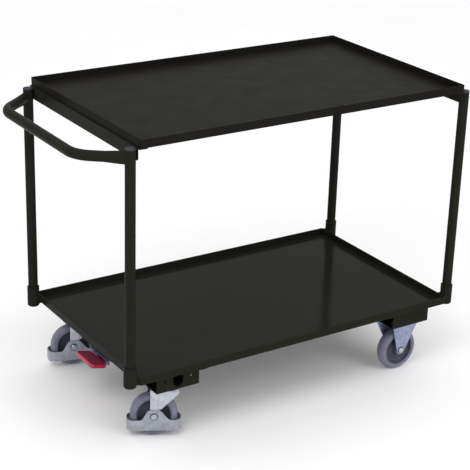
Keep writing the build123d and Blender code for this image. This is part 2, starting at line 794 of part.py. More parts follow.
# one bearing in the inner flange of each slotted console, gripping its sheet on both faces
with BuildPart() as shaft_bearings:
    for sign in SIDES.values():
        flange_y = sign * (console_y - console_width / 2 + console_sheet / 2)
        bearing_top = console_top_z - bearing_fit
        for width, thickness in (
            (slot_width - 2 * bearing_fit, console_sheet + 2 * bearing_fit + 2 * bearing_cheek),
            (slot_width + 2 * bearing_lip, bearing_cheek),
        ):
            offsets = (0.0,) if thickness > bearing_cheek else (
                -(console_sheet / 2 + bearing_fit + bearing_cheek / 2),
                console_sheet / 2 + bearing_fit + bearing_cheek / 2)
            for offset_y in offsets:
                with BuildSketch(side_plane(flange_y + offset_y + thickness / 2)):
                    with Locations((shaft_x, shaft_z)):
                        Circle(width / 2 if thickness > bearing_cheek else width / 2 - bearing_lip)
                        Rectangle(width, bearing_top - shaft_z, align=(Align.CENTER, Align.MIN))
                extrude(amount=thickness)
        with BuildSketch(side_plane(flange_y + console_width / 4)):
            with Locations((shaft_x, shaft_z)):
                Circle(shaft_corner_r + running_play)
        extrude(amount=console_width / 2, mode=Mode.SUBTRACT)
save(shaft_bearings.part, "shaft_bearings")

# lever plane: origin on the shaft's axis, X down the lever towards the handle's side, Y across
lever_dir = Vector(-cos(radians(lever_slope)), 0, -sin(radians(lever_slope)))
lever_plane = Plane(origin=(shaft_x, 0, shaft_z), x_dir=lever_dir, z_dir=lever_dir.cross(Vector(0, -1, 0)))


def on_lever(distance, height=0.0):
    """Plane along the lever, this far down it and this high above its middle."""
    return Plane(origin=lever_plane.from_local_coords((distance, 0, height)),
                 x_dir=lever_plane.x_dir, z_dir=lever_plane.z_dir)


with BuildPart() as pedal_lever:
    with BuildSketch(side_plane(lever_hub_width / 2)):
        with Locations((shaft_x, shaft_z)):
            Circle(lever_hub_r)
    extrude(amount=lever_hub_width)
    with BuildSketch(on_lever(0, -lever_sheet / 2)) as plate:
        with Locations((0, 0)):
            Rectangle(lever_length, lever_hub_width, align=(Align.MIN, Align.CENTER))
        with Locations((lever_shoulder, 0)):
            Rectangle(lever_wide_depth, lever_wide, align=(Align.MIN, Align.CENTER))
            Rectangle(lever_length - lever_shoulder, lever_tongue, align=(Align.MIN, Align.CENTER))
    extrude(amount=lever_sheet)
    with BuildSketch(side_plane(lever_hub_width)):
        with Locations((shaft_x, shaft_z)):
            RegularPolygon(shaft_af / 2 + running_play, 6, major_radius=False)
    extrude(amount=2 * lever_hub_width, mode=Mode.SUBTRACT)
save(pedal_lever.part, "pedal_lever")

with BuildPart() as pedal_pad:
    with BuildSketch(on_lever(pad_start + pad_length / 2, -pad_height / 2)):
        RectangleRounded(pad_length, pad_width, pad_corner_r)
    extrude(amount=pad_height)
    fillet(pedal_pad.edges().group_by(SortBy.LENGTH)[-1], pad_edge_r)
    rib_pitch = pad_length / (pad_ribs + 1)
    with BuildSketch(on_lever(pad_start + pad_length / 2, pad_height / 2)):
        with GridLocations(rib_pitch, 0, pad_ribs, 1):
            Rectangle(rib_pitch * pad_rib_share, pad_width - 2 * pad_corner_r)
    extrude(amount=pad_rib_height)
    tongue_end = lever_length - pad_start + pad_fit
    with BuildSketch(on_lever(pad_start, -lever_sheet / 2 - pad_fit)):
        Rectangle(tongue_end, lever_tongue + 2 * pad_fit, align=(Align.MIN, Align.CENTER))
        wide_end = lever_shoulder + lever_wide_depth - pad_start + pad_fit
        Rectangle(wide_end, lever_wide + 2 * pad_fit, align=(Align.MIN, Align.CENTER))
    extrude(amount=lever_sheet + 2 * pad_fit, mode=Mode.SUBTRACT)
save(pedal_pad.part, "pedal_pad")
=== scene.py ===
"""The looks of a two-deck table trolley with a push handle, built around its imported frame.

Metres, in the frame's own axes: +X to the front, +Y to the left and +Z up, with the origin on the
floor. Sizes of pieces are given in millimetres and turned into metres where they are used.
"""

from __future__ import annotations

import json
import logging
import math
from collections.abc import Callable, Iterable, Iterator
from contextlib import contextmanager
from dataclasses import dataclass, field
from enum import Enum
from typing import Any

import bmesh
import bpy
from mathutils import Matrix, Vector

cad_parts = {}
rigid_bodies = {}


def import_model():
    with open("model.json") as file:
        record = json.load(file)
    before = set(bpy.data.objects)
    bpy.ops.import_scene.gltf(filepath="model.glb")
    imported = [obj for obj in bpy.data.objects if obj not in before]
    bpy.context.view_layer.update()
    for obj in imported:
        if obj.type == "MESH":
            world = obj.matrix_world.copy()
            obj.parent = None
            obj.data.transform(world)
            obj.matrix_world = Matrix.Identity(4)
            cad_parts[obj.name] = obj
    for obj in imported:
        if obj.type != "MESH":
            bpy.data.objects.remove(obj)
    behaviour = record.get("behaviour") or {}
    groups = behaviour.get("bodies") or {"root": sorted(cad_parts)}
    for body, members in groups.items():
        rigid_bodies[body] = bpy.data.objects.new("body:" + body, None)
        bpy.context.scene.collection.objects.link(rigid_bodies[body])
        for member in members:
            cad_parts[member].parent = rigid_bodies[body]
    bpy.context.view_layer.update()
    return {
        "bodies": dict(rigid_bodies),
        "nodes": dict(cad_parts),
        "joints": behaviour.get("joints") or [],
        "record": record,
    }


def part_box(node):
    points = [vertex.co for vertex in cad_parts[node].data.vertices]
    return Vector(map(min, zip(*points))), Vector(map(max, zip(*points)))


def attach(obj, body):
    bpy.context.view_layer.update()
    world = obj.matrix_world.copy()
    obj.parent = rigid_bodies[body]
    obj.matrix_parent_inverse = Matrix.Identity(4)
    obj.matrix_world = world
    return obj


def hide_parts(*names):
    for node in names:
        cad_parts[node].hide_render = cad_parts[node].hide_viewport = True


LOG = logging.getLogger("trolley")
Piece = bpy.types.Object
MM = 0.001
TINY = 1e-5
SMOOTH_ANGLE = math.radians(32)
CORNERS = ("back_left", "back_right", "front_left", "front_right")
SIDES = ("left", "right")
RANGE = ("From Min", "From Max", "To Min", "To Max")
AXES = (Vector((1, 0, 0)), Vector((0, 1, 0)), Vector((0, 0, 1)))


class Pick(Enum):
    """What is selected in edit mode."""

    VERTICES = "VERT"
    EDGES = "EDGE"
    FACES = "FACE"


class Ends(Enum):
    """How a turned shape's first and last ring are finished."""

    JOINED = "joined"
    CAPPED = "capped"


class Slot(Enum):
    """The record's material slots."""

    COAT = "powder_coat"
    ZINC = "zinc"
    TYRE = "tyre"
    HUB = "hub_plastic"
    PEDAL = "pedal_red"
    CAP = "cap_plastic"


# ---- shaping ------------------------------------------------------------------------------------
def release() -> None:
    """Leave edit mode and deselect every object."""
    held = bpy.context.view_layer.objects.active
    if held is not None and held.mode != "OBJECT":
        bpy.ops.object.mode_set(mode="OBJECT")
    bpy.ops.object.select_all(action="DESELECT")


def take(piece: Piece) -> None:
    """Make one piece the only selected and active object.

    Args:
        piece: The object.
    """
    release()
    piece.select_set(True)
    bpy.context.view_layer.objects.active = piece


def at(x: float, y: float, z: float) -> Matrix:
    """The place of a point given in millimetres."""
    return Matrix.Translation((x * MM, y * MM, z * MM))


def turn_about(axis: str, degrees: float) -> Matrix:
    """A turn about one axis."""
    return Matrix.Rotation(math.radians(degrees), 4, axis)


def centre_of(node: str) -> Vector:
    """Middle of a CAD node's box, in metres."""
    low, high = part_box(node)
    return (low + high) / 2


def settle(piece: Piece, matrix: Matrix | None = None) -> Piece:
    """Write a piece's place into its mesh.

    Args:
        piece: The object to settle.
        matrix: A further place to put it at first.

    Returns:
        The same object, unturned, at the origin.
    """
    if matrix is not None:
        piece.matrix_world = matrix @ piece.matrix_world
    take(piece)
    bpy.ops.object.transform_apply(location=True, rotation=True, scale=True)
    return piece


@contextmanager
def editing(piece: Piece) -> Iterator[None]:
    """Edit mode on one piece, with nothing selected at the start.

    Args:
        piece: The object to edit.

    Yields:
        Nothing: the edit is made inside the with block.
    """
    take(piece)
    bpy.ops.object.mode_set(mode="EDIT")
    bpy.ops.mesh.select_all(action="DESELECT")
    yield
    bpy.ops.object.mode_set(mode="OBJECT")


def pick(piece: Piece, what: Pick, test: Callable[[Any], bool]) -> int:
    """Select the vertices, edges or faces of a piece in edit mode that pass a test.

    Args:
        piece: The object being edited.
        what: The kind of element.
        test: Says whether one element is taken.

    Returns:
        How many were selected.
    """
    bpy.ops.mesh.select_mode(type=what.value)
    bpy.ops.mesh.select_all(action="DESELECT")
    mesh = bmesh.from_edit_mesh(piece.data)
    mesh.normal_update()
    group = {Pick.VERTICES: mesh.verts, Pick.EDGES: mesh.edges, Pick.FACES: mesh.faces}[what]
    taken = [item for item in group if test(item)]
    for item in taken:
        item.select_set(True)
    mesh.select_flush_mode()
    bmesh.update_edit_mesh(piece.data)
    return len(taken)


def middle(edge: Any) -> Vector:
    """Middle point of an edge."""
    return (edge.verts[0].co + edge.verts[1].co) / 2


def along(edge: Any, axis: int) -> bool:
    """Whether an edge runs along one axis."""
    way = edge.verts[1].co - edge.verts[0].co
    return abs(way[axis]) > 0.99 * way.length


def facing_up(face: Any) -> bool:
    """Whether a face looks up."""
    return face.normal.z > 0.9


def widen(share: float) -> None:
    """Widen or narrow what is selected in edit mode, across Y."""
    bpy.ops.transform.resize(value=(1, share, 1), center_override=(0, 0, 0))


def name_piece(name: str) -> Piece:
    """Name the object that was just added.

    Args:
        name: Its name, and its mesh's.

    Returns:
        The object.
    """
    piece = bpy.context.view_layer.objects.active
    piece.name = name
    piece.data.name = name
    return piece


def modify(piece: Piece, kind: str, **settings: Any) -> None:
    """Add a modifier to a piece and apply it.

    Args:
        piece: The object.
        kind: Blender's name of the modifier.
        settings: Its settings by name.
    """
    take(piece)
    modifier = piece.modifiers.new(kind.title(), kind)
    for key, value in settings.items():
        setattr(modifier, key, value)
    bpy.ops.object.modifier_apply(modifier=modifier.name)


def soften(piece: Piece, radius: float, segments: int = 2, angle: float = 40.0) -> None:
    """Round every edge of a piece that is sharper than an angle.

    Args:
        piece: The object.
        radius: Width of the rounding, in millimetres.
        segments: How many facets it has.
        angle: Edges flatter than this, in degrees, stay.
    """
    modify(piece, "BEVEL", width=radius * MM, segments=segments, limit_method="ANGLE",
           angle_limit=math.radians(angle), use_clamp_overlap=True)


def smooth(piece: Piece) -> Piece:
    """Shade a piece smooth except over its sharp edges.

    Args:
        piece: The object.

    Returns:
        The same object.
    """
    take(piece)
    bpy.ops.object.shade_smooth_by_angle(angle=SMOOTH_ANGLE)
    return piece


def press(piece: Piece, sheet: float, edge: float) -> None:
    """Give a folded surface the thickness of its sheet, inwards, and round its edges.

    Args:
        piece: The object.
        sheet: The thickness, in millimetres.
        edge: Width of the rounding.
    """
    modify(piece, "SOLIDIFY", thickness=sheet * MM, offset=-1)
    soften(piece, edge)


def face_outwards(piece: Piece) -> None:
    """Merge doubles and turn every face of a closed shape outwards.

    Args:
        piece: The object.
    """
    with editing(piece):
        bpy.ops.mesh.select_all(action="SELECT")
        bpy.ops.mesh.remove_doubles(threshold=TINY)
        bpy.ops.mesh.normals_make_consistent(inside=False)


def weld_together(name: str, pieces: list[Piece]) -> Piece:
    """Join several objects into one.

    Args:
        name: The joined object's name.
        pieces: The objects, all at the origin.

    Returns:
        The joined object.
    """
    take(pieces[0])
    for piece in pieces[1:]:
        piece.select_set(True)
    if len(pieces) > 1:
        bpy.ops.object.join()
    return name_piece(name)


def copy_of(piece: Piece, name: str, matrix: Matrix) -> Piece:
    """A copy of a piece with its own mesh, settled at a further place.

    Args:
        piece: The object to copy.
        name: The copy's name.
        matrix: Where the copy goes, from where the first one is.

    Returns:
        The copy.
    """
    twin = piece.copy()
    twin.data = piece.data.copy()
    twin.name = name
    twin.data.name = name
    bpy.context.scene.collection.objects.link(twin)
    return settle(twin, matrix)


def discard(piece: Piece) -> None:
    """Remove a pattern piece that was only there to be copied."""
    bpy.data.objects.remove(piece)


def repeated(name: str, pattern: Piece, places: Iterable[Matrix]) -> Piece:
    """Put copies of a pattern at several places and join them. The pattern is removed.

    Args:
        name: The joined object's name.
        pattern: The object to copy.
        places: Where the copies go.

    Returns:
        The joined object.
    """
    copies = [copy_of(pattern, f"{name}_{i}", place) for i, place in enumerate(places)]
    discard(pattern)
    return weld_together(name, copies)


def turned(name: str, profile: list[tuple[float, float]], ends: Ends, segments: int = 64,
           base: float = 0.0) -> Piece:
    """A turned shape about Z: a ring that is extruded and scaled from point to point.

    Args:
        name: The object's name.
        profile: Radius and height of each ring, in millimetres.
        ends: Whether the last ring meets the first or both are capped.
        segments: Facets round the shape.
        base: A height that is added to every ring's.

    Returns:
        The shape, with its faces outwards and shaded smooth.
    """
    rings = [(radius, height + base) for radius, height in profile]
    if ends is Ends.JOINED:
        rings.append(rings[0])
    radius, height = rings[0]
    release()
    bpy.ops.mesh.primitive_circle_add(vertices=segments, radius=radius * MM, fill_type="NOTHING",
                                      location=(0, 0, height * MM))
    piece = settle(name_piece(name))
    with editing(piece):
        bpy.ops.mesh.select_all(action="SELECT")
        for (near_r, near_z), (far_r, far_z) in zip(rings, rings[1:]):
            rise = (0, 0, (far_z - near_z) * MM)
            bpy.ops.mesh.extrude_edges_move(TRANSFORM_OT_translate={"value": rise})
            grow = far_r / near_r
            bpy.ops.transform.resize(value=(grow, grow, 1), center_override=(0, 0, far_z * MM))
        if ends is Ends.CAPPED:
            bpy.ops.mesh.select_all(action="SELECT")
            bpy.ops.mesh.fill_holes(sides=0)
    face_outwards(piece)
    return smooth(piece)


def block(name: str, low: tuple[float, float, float], high: tuple[float, float, float],
          corner: float = 0.0, corner_segments: int = 6) -> Piece:
    """An upright-cornered block between two points, with its upright edges rounded.

    Args:
        name: The object's name.
        low: Lowest corner, in millimetres.
        high: Highest corner, in millimetres.
        corner: Radius of the upright edges.
        corner_segments: Facets of each rounded edge.

    Returns:
        The block.
    """
    centre = [(a + b) / 2 * MM for a, b in zip(low, high)]
    release()
    bpy.ops.mesh.primitive_cube_add(size=1, location=centre)
    piece = name_piece(name)
    piece.scale = [(b - a) * MM for a, b in zip(low, high)]
    settle(piece)
    if corner > 0:
        with editing(piece):
            pick(piece, Pick.EDGES, lambda e: along(e, 2))
            bpy.ops.mesh.bevel(offset=corner * MM, segments=corner_segments, affect="EDGES")
    return piece


def hexagon(name: str, across_flats: float, height: float,
            chamfer: float) -> Piece:
    """A chamfered hexagon on the XY plane, for bolt heads and nuts.

    Args:
        name: The object's name.
        across_flats: Width over two flats, in millimetres.
        height: Height above the plane.
        chamfer: Height of the chamfer at both ends.

    Returns:
        The hexagon.
    """
    body = height - 2 * chamfer
    release()
    bpy.ops.mesh.primitive_cylinder_add(vertices=6, radius=across_flats / math.sqrt(3) * MM,
                                        depth=body * MM, location=(0, 0, height / 2 * MM))
    piece = settle(name_piece(name))
    with editing(piece):
        for way in (-1, 1):
            pick(piece, Pick.FACES, lambda f, w=way: f.normal.z * w > 0.9)
            bpy.ops.mesh.extrude_region_move(
                TRANSFORM_OT_translate={"value": (0, 0, way * chamfer * MM)})
            bpy.ops.transform.resize(value=(0.88, 0.88, 1), center_override=(0, 0, 0))
    return piece


def folded_channel(name: str, x_low: float, x_high: float, top: float, bottom: float,
                   half_width: float, fold: float) -> Piece:
    """A sheet folded down on both sides: the start of a castor's fork. It has no thickness yet.

    Args:
        name: The object's name.
        x_low: Back edge, in millimetres.
        x_high: Front edge.
        top: Height of the crown.
        bottom: Height of the legs' lower edge.
        half_width: Outer half width over the legs.
        fold: Radius of the folds.

    Returns:
        The folded surface with its faces outwards.
    """
    release()
    bpy.ops.mesh.primitive_plane_add(size=1, location=((x_low + x_high) / 2 * MM, 0, top * MM))
    piece = name_piece(name)
    piece.scale = ((x_high - x_low) * MM, 2 * half_width * MM, 1)
    settle(piece)
    with editing(piece):
        pick(piece, Pick.EDGES, lambda e: along(e, 0))
        bpy.ops.mesh.extrude_edges_move(
            TRANSFORM_OT_translate={"value": (0, 0, (bottom - top) * MM)})
        bpy.ops.mesh.select_all(action="SELECT")
        bpy.ops.mesh.normals_make_consistent(inside=False)
        if pick(piece, Pick.FACES, lambda f: f.normal.z < -0.9):
            bpy.ops.mesh.select_all(action="SELECT")
            bpy.ops.mesh.flip_normals()
        pick(piece, Pick.EDGES, lambda e: along(e, 0) and abs(middle(e).z - top * MM) < TINY)
        bpy.ops.mesh.bevel(offset=fold * MM, segments=4, affect="EDGES")
    return piece


def trim(point: Iterable[float], normal: Iterable[float], cut_off: bool = True) -> None:
    """Bisect the piece that is being edited by a plane.

    Args:
        point: A point of the plane, in millimetres.
        normal: The plane's normal.
        cut_off: Whether what lies on the normal's side is removed.
    """
    bpy.ops.mesh.select_all(action="SELECT")
    bpy.ops.mesh.bisect(plane_co=[v * MM for v in point], plane_no=normal, clear_outer=cut_off)


def score(axis: int, *places: float) -> None:
    """Add edges right round the piece that is being edited.

    Args:
        axis: The axis that they are square to.
        places: Where they are along it, in millimetres.
    """
    for place in places:
        trim([place * v for v in AXES[axis]], AXES[axis], cut_off=False)


def round_foot(x: float, z: float, radius: float, degrees: tuple[float, ...]) -> None:
    """Trim a leg to tangents of a circle round the axle.

    Args:
        x: The axle's place along the castor, in millimetres.
        z: The axle's height.
        radius: Radius of the foot.
        degrees: Directions of the tangents' normals, from forward, upwards.
    """
    for angle in map(math.radians, degrees):
        way = (math.cos(angle), 0.0, math.sin(angle))
        trim((x + radius * way[0], 0, z + radius * way[2]), way)


# ---- finishes -----------------------------------------------------------------------------------
def linear(colour: tuple[int, int, int]) -> tuple[float, float, float, float]:
    """Turn a display colour into the renderer's linear colour.

    Args:
        colour: Red, green and blue from 0 to 255.

    Returns:
        The linear colour, opaque.
    """
    shares = [c / 255 for c in colour]
    made = [s / 12.92 if s <= 0.04045 else ((s + 0.055) / 1.055) ** 2.4 for s in shares]
    return (made[0], made[1], made[2], 1.0)


class Graph:
    """A material's node tree, with short ways to add what the finishes need."""

    def __init__(self, name: str) -> None:
        """Make a material with a Principled shader.

        Args:
            name: The material's name.
        """
        self.material = bpy.data.materials.new(name)
        self.material.use_nodes = True
        self.tree = self.material.node_tree
        self.shader = self.tree.nodes["Principled BSDF"]
        self.place = self.node("ShaderNodeTexCoord").outputs["Object"]
        self.normal: Any = None

    def node(self, kind: str, **settings: Any) -> Any:
        """Add a node.

        Args:
            kind: Blender's type of the node.
            settings: Attributes to set on it.

        Returns:
            The node.
        """
        made = self.tree.nodes.new(kind)
        for key, value in settings.items():
            setattr(made, key, value)
        return made

    def link(self, source: Any, target: Any) -> None:
        """Join an output socket to an input socket."""
        self.tree.links.new(source, target)

    def stretched(self, stretch: tuple[float, float, float]) -> Any:
        """Stretch the object's coordinates.

        Args:
            stretch: The scale along each axis.

        Returns:
            The coordinates' socket.
        """
        mapping = self.node("ShaderNodeMapping")
        mapping.inputs["Scale"].default_value = stretch
        self.link(self.place, mapping.inputs["Vector"])
        return mapping.outputs["Vector"]

    def noise(self, scale: float, detail: float = 2.0, rough: float = 0.5,
              place: Any = None) -> Any:
        """A noise value.

        Args:
            scale: Bumps per metre.
            detail: How many finer layers it has.
            rough: How strong they are.
            place: Coordinates, or None for the object's own.

        Returns:
            The value's socket.
        """
        made = self.node("ShaderNodeTexNoise")
        made.inputs["Scale"].default_value = scale
        made.inputs["Detail"].default_value = detail
        made.inputs["Roughness"].default_value = rough
        self.link(place or self.place, made.inputs["Vector"])
        return made.outputs["Fac"]

    def cells(self, scale: float, feature: str = "F1", output: str = "Color") -> Any:
        """A cell pattern.

        Args:
            scale: Cells per metre.
            feature: Blender's name of the pattern.
            output: Its colour of each cell, or the distance to the cell's middle.

        Returns:
            The output's socket.
        """
        made = self.node("ShaderNodeTexVoronoi", feature=feature)
        made.inputs["Scale"].default_value = scale
        self.link(self.place, made.inputs["Vector"])
        return made.outputs[output]

    def span(self, value: Any, low: float, high: float, start: float = 0.3,
             end: float = 0.7) -> Any:
        """Map a value onto another range, held at both ends.

        Args:
            value: The value's socket.
            low: Result at the start.
            high: Result at the end.
            start: Where the value's range starts.
            end: Where it ends.

        Returns:
            The result's socket.
        """
        made = self.node("ShaderNodeMapRange")
        for key, number in zip(RANGE, (start, end, low, high)):
            made.inputs[key].default_value = number
        self.link(value, made.inputs["Value"])
        return made.outputs["Result"]

    def blend(self, share: Any, low: Any, high: Any) -> Any:
        """A colour between two, by a share.

        Args:
            share: The share's socket.
            low: Colour or socket at share 0.
            high: Colour or socket at share 1.

        Returns:
            The colour's socket.
        """
        made = self.node("ShaderNodeMix", data_type="RGBA")
        self.link(share, made.inputs["Factor"])
        for key, value in (("A", low), ("B", high)):
            socket = next(s for s in made.inputs if s.name == key and s.type == "RGBA")
            if isinstance(value, tuple):
                socket.default_value = value
            else:
                self.link(value, socket)
        return next(s for s in made.outputs if s.type == "RGBA")

    def relief(self, height: Any, depth: float, strength: float = 1.0) -> None:
        """Add a bump over what is there already.

        Args:
            height: The height's socket.
            depth: Its depth in metres.
            strength: How much of it shows.
        """
        made = self.node("ShaderNodeBump")
        made.inputs["Distance"].default_value = depth
        made.inputs["Strength"].default_value = strength
        self.link(height, made.inputs["Height"])
        if self.normal is not None:
            self.link(self.normal, made.inputs["Normal"])
        self.normal = made.outputs["Normal"]
        self.link(self.normal, self.shader.inputs["Normal"])


@dataclass(frozen=True)
class Finish:
    """A finish with a clouded colour, a changing roughness and a fine grain."""

    name: str
    dark: tuple[int, int, int]
    light: tuple[int, int, int]
    roughness: tuple[float, float]
    cloud: float = 18.0
    grain: float = 900.0
    grain_depth: float = 0.00004
    metallic: float = 0.0
    specular: float = 0.5
    coat: float = 0.0
    coat_roughness: float = 0.2
    slot: Slot = Slot.COAT

    def colour(self, graph: Graph) -> Any:
        """Mix a slow cloud between the dark and the light tone.

        Args:
            graph: The material's nodes.

        Returns:
            The colour's socket.
        """
        cloud = graph.span(graph.noise(self.cloud, 4.0, 0.55), 0.0, 1.0)
        return graph.blend(cloud, linear(self.dark), linear(self.light))

    def detail(self, graph: Graph) -> None:
        """Relief and marks of this finish, over the colour and the roughness."""
        graph.relief(graph.noise(self.grain, 3.0, 0.6), self.grain_depth)

    def material(self) -> bpy.types.Material:
        """Build the finish.

        Returns:
            The material.
        """
        known = bpy.data.materials.get(self.name)
        if known is not None:
            return known
        graph = Graph(self.name)
        shader = graph.shader
        shader.inputs["Metallic"].default_value = self.metallic
        shader.inputs["Specular IOR Level"].default_value = self.specular
        shader.inputs["Coat Weight"].default_value = self.coat
        shader.inputs["Coat Roughness"].default_value = self.coat_roughness
        graph.link(self.colour(graph), shader.inputs["Base Color"])
        patch = graph.noise(self.cloud * 2.3, 3.0, 0.5)
        graph.link(graph.span(patch, *self.roughness), shader.inputs["Roughness"])
        self.detail(graph)
        return graph.material


@dataclass(frozen=True)
class PowderCoat(Finish):
    """Baked powder paint: a slow orange peel with a fine speckle in it."""

    grain_depth: float = 0.00002
    peel: float = 260.0
    peel_depth: float = 0.00006

    def detail(self, graph: Graph) -> None:
        """Orange peel and fine grain; the lighter specks are in the colour."""
        graph.relief(graph.noise(self.peel, 2.0, 0.45), self.peel_depth)
        graph.relief(graph.noise(self.grain, 2.0, 0.6), self.grain_depth)

    def colour(self, graph: Graph) -> Any:
        """Clouded tone with fine pale specks of pigment.

        Args:
            graph: The material's nodes.

        Returns:
            The colour's socket.
        """
        base = super().colour(graph)
        speck = graph.span(graph.noise(2400.0, 2.0, 0.7), 0.0, 0.35, 0.6, 0.75)
        return graph.blend(speck, base, linear(tuple(min(255, c + 30) for c in self.light)))


@dataclass(frozen=True)
class ZincPlate(Finish):
    """Zinc-plated pressed steel: small mottled crystals and drawing marks."""

    grain: float = 1300.0
    grain_depth: float = 0.00002
    metallic: float = 0.75
    slot: Slot = Slot.ZINC
    crystal: float = 330.0
    marks: tuple[float, float, float] = (60.0, 60.0, 900.0)

    def colour(self, graph: Graph) -> Any:
        """Crystals of slightly different greys over the slow cloud.

        Args:
            graph: The material's nodes.

        Returns:
            The colour's socket.
        """
        base = super().colour(graph)
        grey = graph.span(graph.cells(self.crystal), 0.0, 0.45, 0.0, 1.0)
        return graph.blend(grey, base, linear(self.light))

    def detail(self, graph: Graph) -> None:
        """Drawing marks along the sheet, crystals and a soft unevenness.

        Args:
            graph: The material's nodes.
        """
        graph.relief(graph.noise(1.0, 2.0, 0.5, graph.stretched(self.marks)), 0.00002)
        graph.relief(graph.cells(self.crystal, "SMOOTH_F1", "Distance"), 0.00008, 0.6)
        graph.relief(graph.noise(self.grain, 3.0, 0.6), self.grain_depth)


@dataclass(frozen=True)
class Rubber(Finish):
    """Soft grey tyre: matt, with dust and small scuffs on it."""

    slot: Slot = Slot.TYRE
    scuff: tuple[int, int, int] = (158, 158, 166)

    def colour(self, graph: Graph) -> Any:
        """Clouded grey with pale scuffs.

        Args:
            graph: The material's nodes.

        Returns:
            The colour's socket.
        """
        base = super().colour(graph)
        scuffs = graph.span(graph.noise(150.0, 5.0, 0.75), 0.0, 0.5, 0.56, 0.74)
        return graph.blend(scuffs, base, linear(self.scuff))


@dataclass(frozen=True)
class MouldedPlastic(Finish):
    """Moulded plastic with the fine leathery grain of its tool."""

    grain: float = 1800.0
    grain_depth: float = 0.00003
    slot: Slot = Slot.HUB
    leather: float = 700.0
    leather_depth: float = 0.00009

    def detail(self, graph: Graph) -> None:
        """Leather grain of the tool and a fine roughness in it."""
        graph.relief(graph.cells(self.leather, "SMOOTH_F1", "Distance"), self.leather_depth, 0.7)
        graph.relief(graph.noise(self.grain, 3.0, 0.6), self.grain_depth)


COAT = PowderCoat("powder_paint", (32, 32, 27), (35, 35, 30), (0.26, 0.34), cloud=9.0,
                  specular=0.016)
# Darker copy of the powder paint for the upper deck's tray: painted shade.
SHADED_TRAY_COAT = PowderCoat("powder_paint_tray_painted_shade", (26, 25, 23), (29, 28, 26), (0.3, 0.38), cloud=9.0,
                       specular=0.013)
GLOSS_COAT = PowderCoat("powder_paint_gloss", (32, 32, 27), (34, 34, 29), (0.1, 0.16), cloud=7.0,
                        grain_depth=0.000004, peel_depth=0.000012, specular=0.022)
# Darker copy of the powder paint for the ribs under the decks: painted shade.
COAT_SHADE = PowderCoat("powder_paint_painted_shade", (26, 26, 22), (33, 33, 28), (0.4, 0.52),
                        cloud=14.0, grain_depth=0.00003, specular=0.02)
WELD_COAT = PowderCoat("painted_weld", (29, 29, 25), (37, 37, 32), (0.34, 0.46), cloud=120.0,
                       peel=420.0, peel_depth=0.00018, grain_depth=0.00004, specular=0.05)
# Lighter copy of the zinc plating for the swivel forks: painted light.
ZINC = ZincPlate("zinc_plate", (162, 166, 180), (204, 207, 217), (0.36, 0.5), cloud=70.0)
# Darker copy of the same zinc plating for the foot guards: painted shade.
SHADED_GUARD_ZINC = ZincPlate("guard_zinc_plate_painted_shade", (140, 144, 154), (174, 177, 187), (0.42, 0.56),
                       cloud=80.0, crystal=420.0)
BLUE_ZINC = ZincPlate("blue_zinc_plate", (118, 126, 152), (158, 165, 190), (0.3, 0.44), cloud=60.0)
BRIGHT_ZINC = ZincPlate("bright_zinc_fastener", (150, 154, 166), (192, 196, 206), (0.22, 0.34),
                        cloud=260.0, metallic=0.95, crystal=900.0, grain=2200.0,
                        grain_depth=0.00001)
# Darker steel for the axle washers, standing in for the shade round the bolt heads: painted shade.
SHADE_WASHER_STEEL = ZincPlate("washer_steel_painted_shade", (96, 100, 112), (132, 136, 148), (0.34, 0.48),
                         cloud=200.0, metallic=0.85, crystal=900.0, grain=2200.0,
                         grain_depth=0.00001)
LEVER_STEEL = ZincPlate("lever_steel", (72, 80, 104), (104, 112, 138), (0.38, 0.5), cloud=90.0,
                        metallic=0.6)
DARK_STEEL = ZincPlate("oiled_steel", (60, 62, 68), (92, 95, 104), (0.4, 0.55), cloud=110.0,
                       metallic=0.9, grain=1500.0)
TYRE = Rubber("grey_tyre", (104, 104, 124), (124, 124, 142), (0.55, 0.7), cloud=50.0,
              grain=1700.0, grain_depth=0.00006, specular=0.35)
HUB = MouldedPlastic("wheel_plastic", (50, 52, 66), (66, 68, 82), (0.4, 0.52), cloud=40.0,
                     specular=0.4)
PEDAL = MouldedPlastic("pedal_plastic", (150, 6, 44), (178, 14, 60), (0.3, 0.42), cloud=60.0,
                       leather=900.0, leather_depth=0.00005, coat=0.25, slot=Slot.PEDAL)
PEDAL_GRIP = MouldedPlastic("pedal_grip", (108, 38, 60), (142, 46, 76), (0.5, 0.65), cloud=90.0,
                            grain=1500.0, grain_depth=0.00006, leather=520.0,
                            leather_depth=0.00016, slot=Slot.PEDAL)
CAP = MouldedPlastic("cap_plastic", (18, 22, 38), (34, 36, 54), (0.32, 0.45), cloud=80.0,
                     slot=Slot.CAP)
FLOOR = Finish("studio_floor", (247, 247, 247), (251, 251, 251), (0.75, 0.85), cloud=1.5,
               grain=60.0, grain_depth=0.0001, specular=0.1)


def dress(piece: Piece, finish: Finish) -> None:
    """Give a piece one finish all over.

    Args:
        piece: The object.
        finish: The finish.
    """
    piece.data.materials.clear()
    piece.data.materials.append(finish.material())


# ---- the trolley --------------------------------------------------------------------------------
@dataclass
class Shop:
    """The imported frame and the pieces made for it."""

    frame: dict[str, Any]
    made: list[Piece] = field(default_factory=list)

    def joint(self, name: str) -> dict[str, Any]:
        """The record's joint of this name."""
        return next(j for j in self.frame["joints"] if j["name"] == name)

    def fit(self, piece: Piece, finish: Finish, body: str, *nodes: str,
            slot: Slot | None = None) -> None:
        """Dress a finished piece and fix it to the frame.

        Args:
            piece: The object, settled in its place.
            finish: Its finish.
            body: The CAD body that it moves with.
            nodes: CAD nodes that it stands for.
            slot: The record's material slot; not used.
        """
        dress(piece, finish)
        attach(piece, body)
        if nodes:
            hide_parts(*nodes)
        self.made.append(piece)
        LOG.info("%s rides on %s", piece.name, body)

    def paint(self, finish: Finish, *names: str) -> None:
        """Give CAD nodes that stay a finish.

        Args:
            finish: The finish.
            names: The nodes' names, or what they start with.
        """
        for node, piece in self.frame["nodes"].items():
            if node.startswith(names):
                dress(piece, finish)


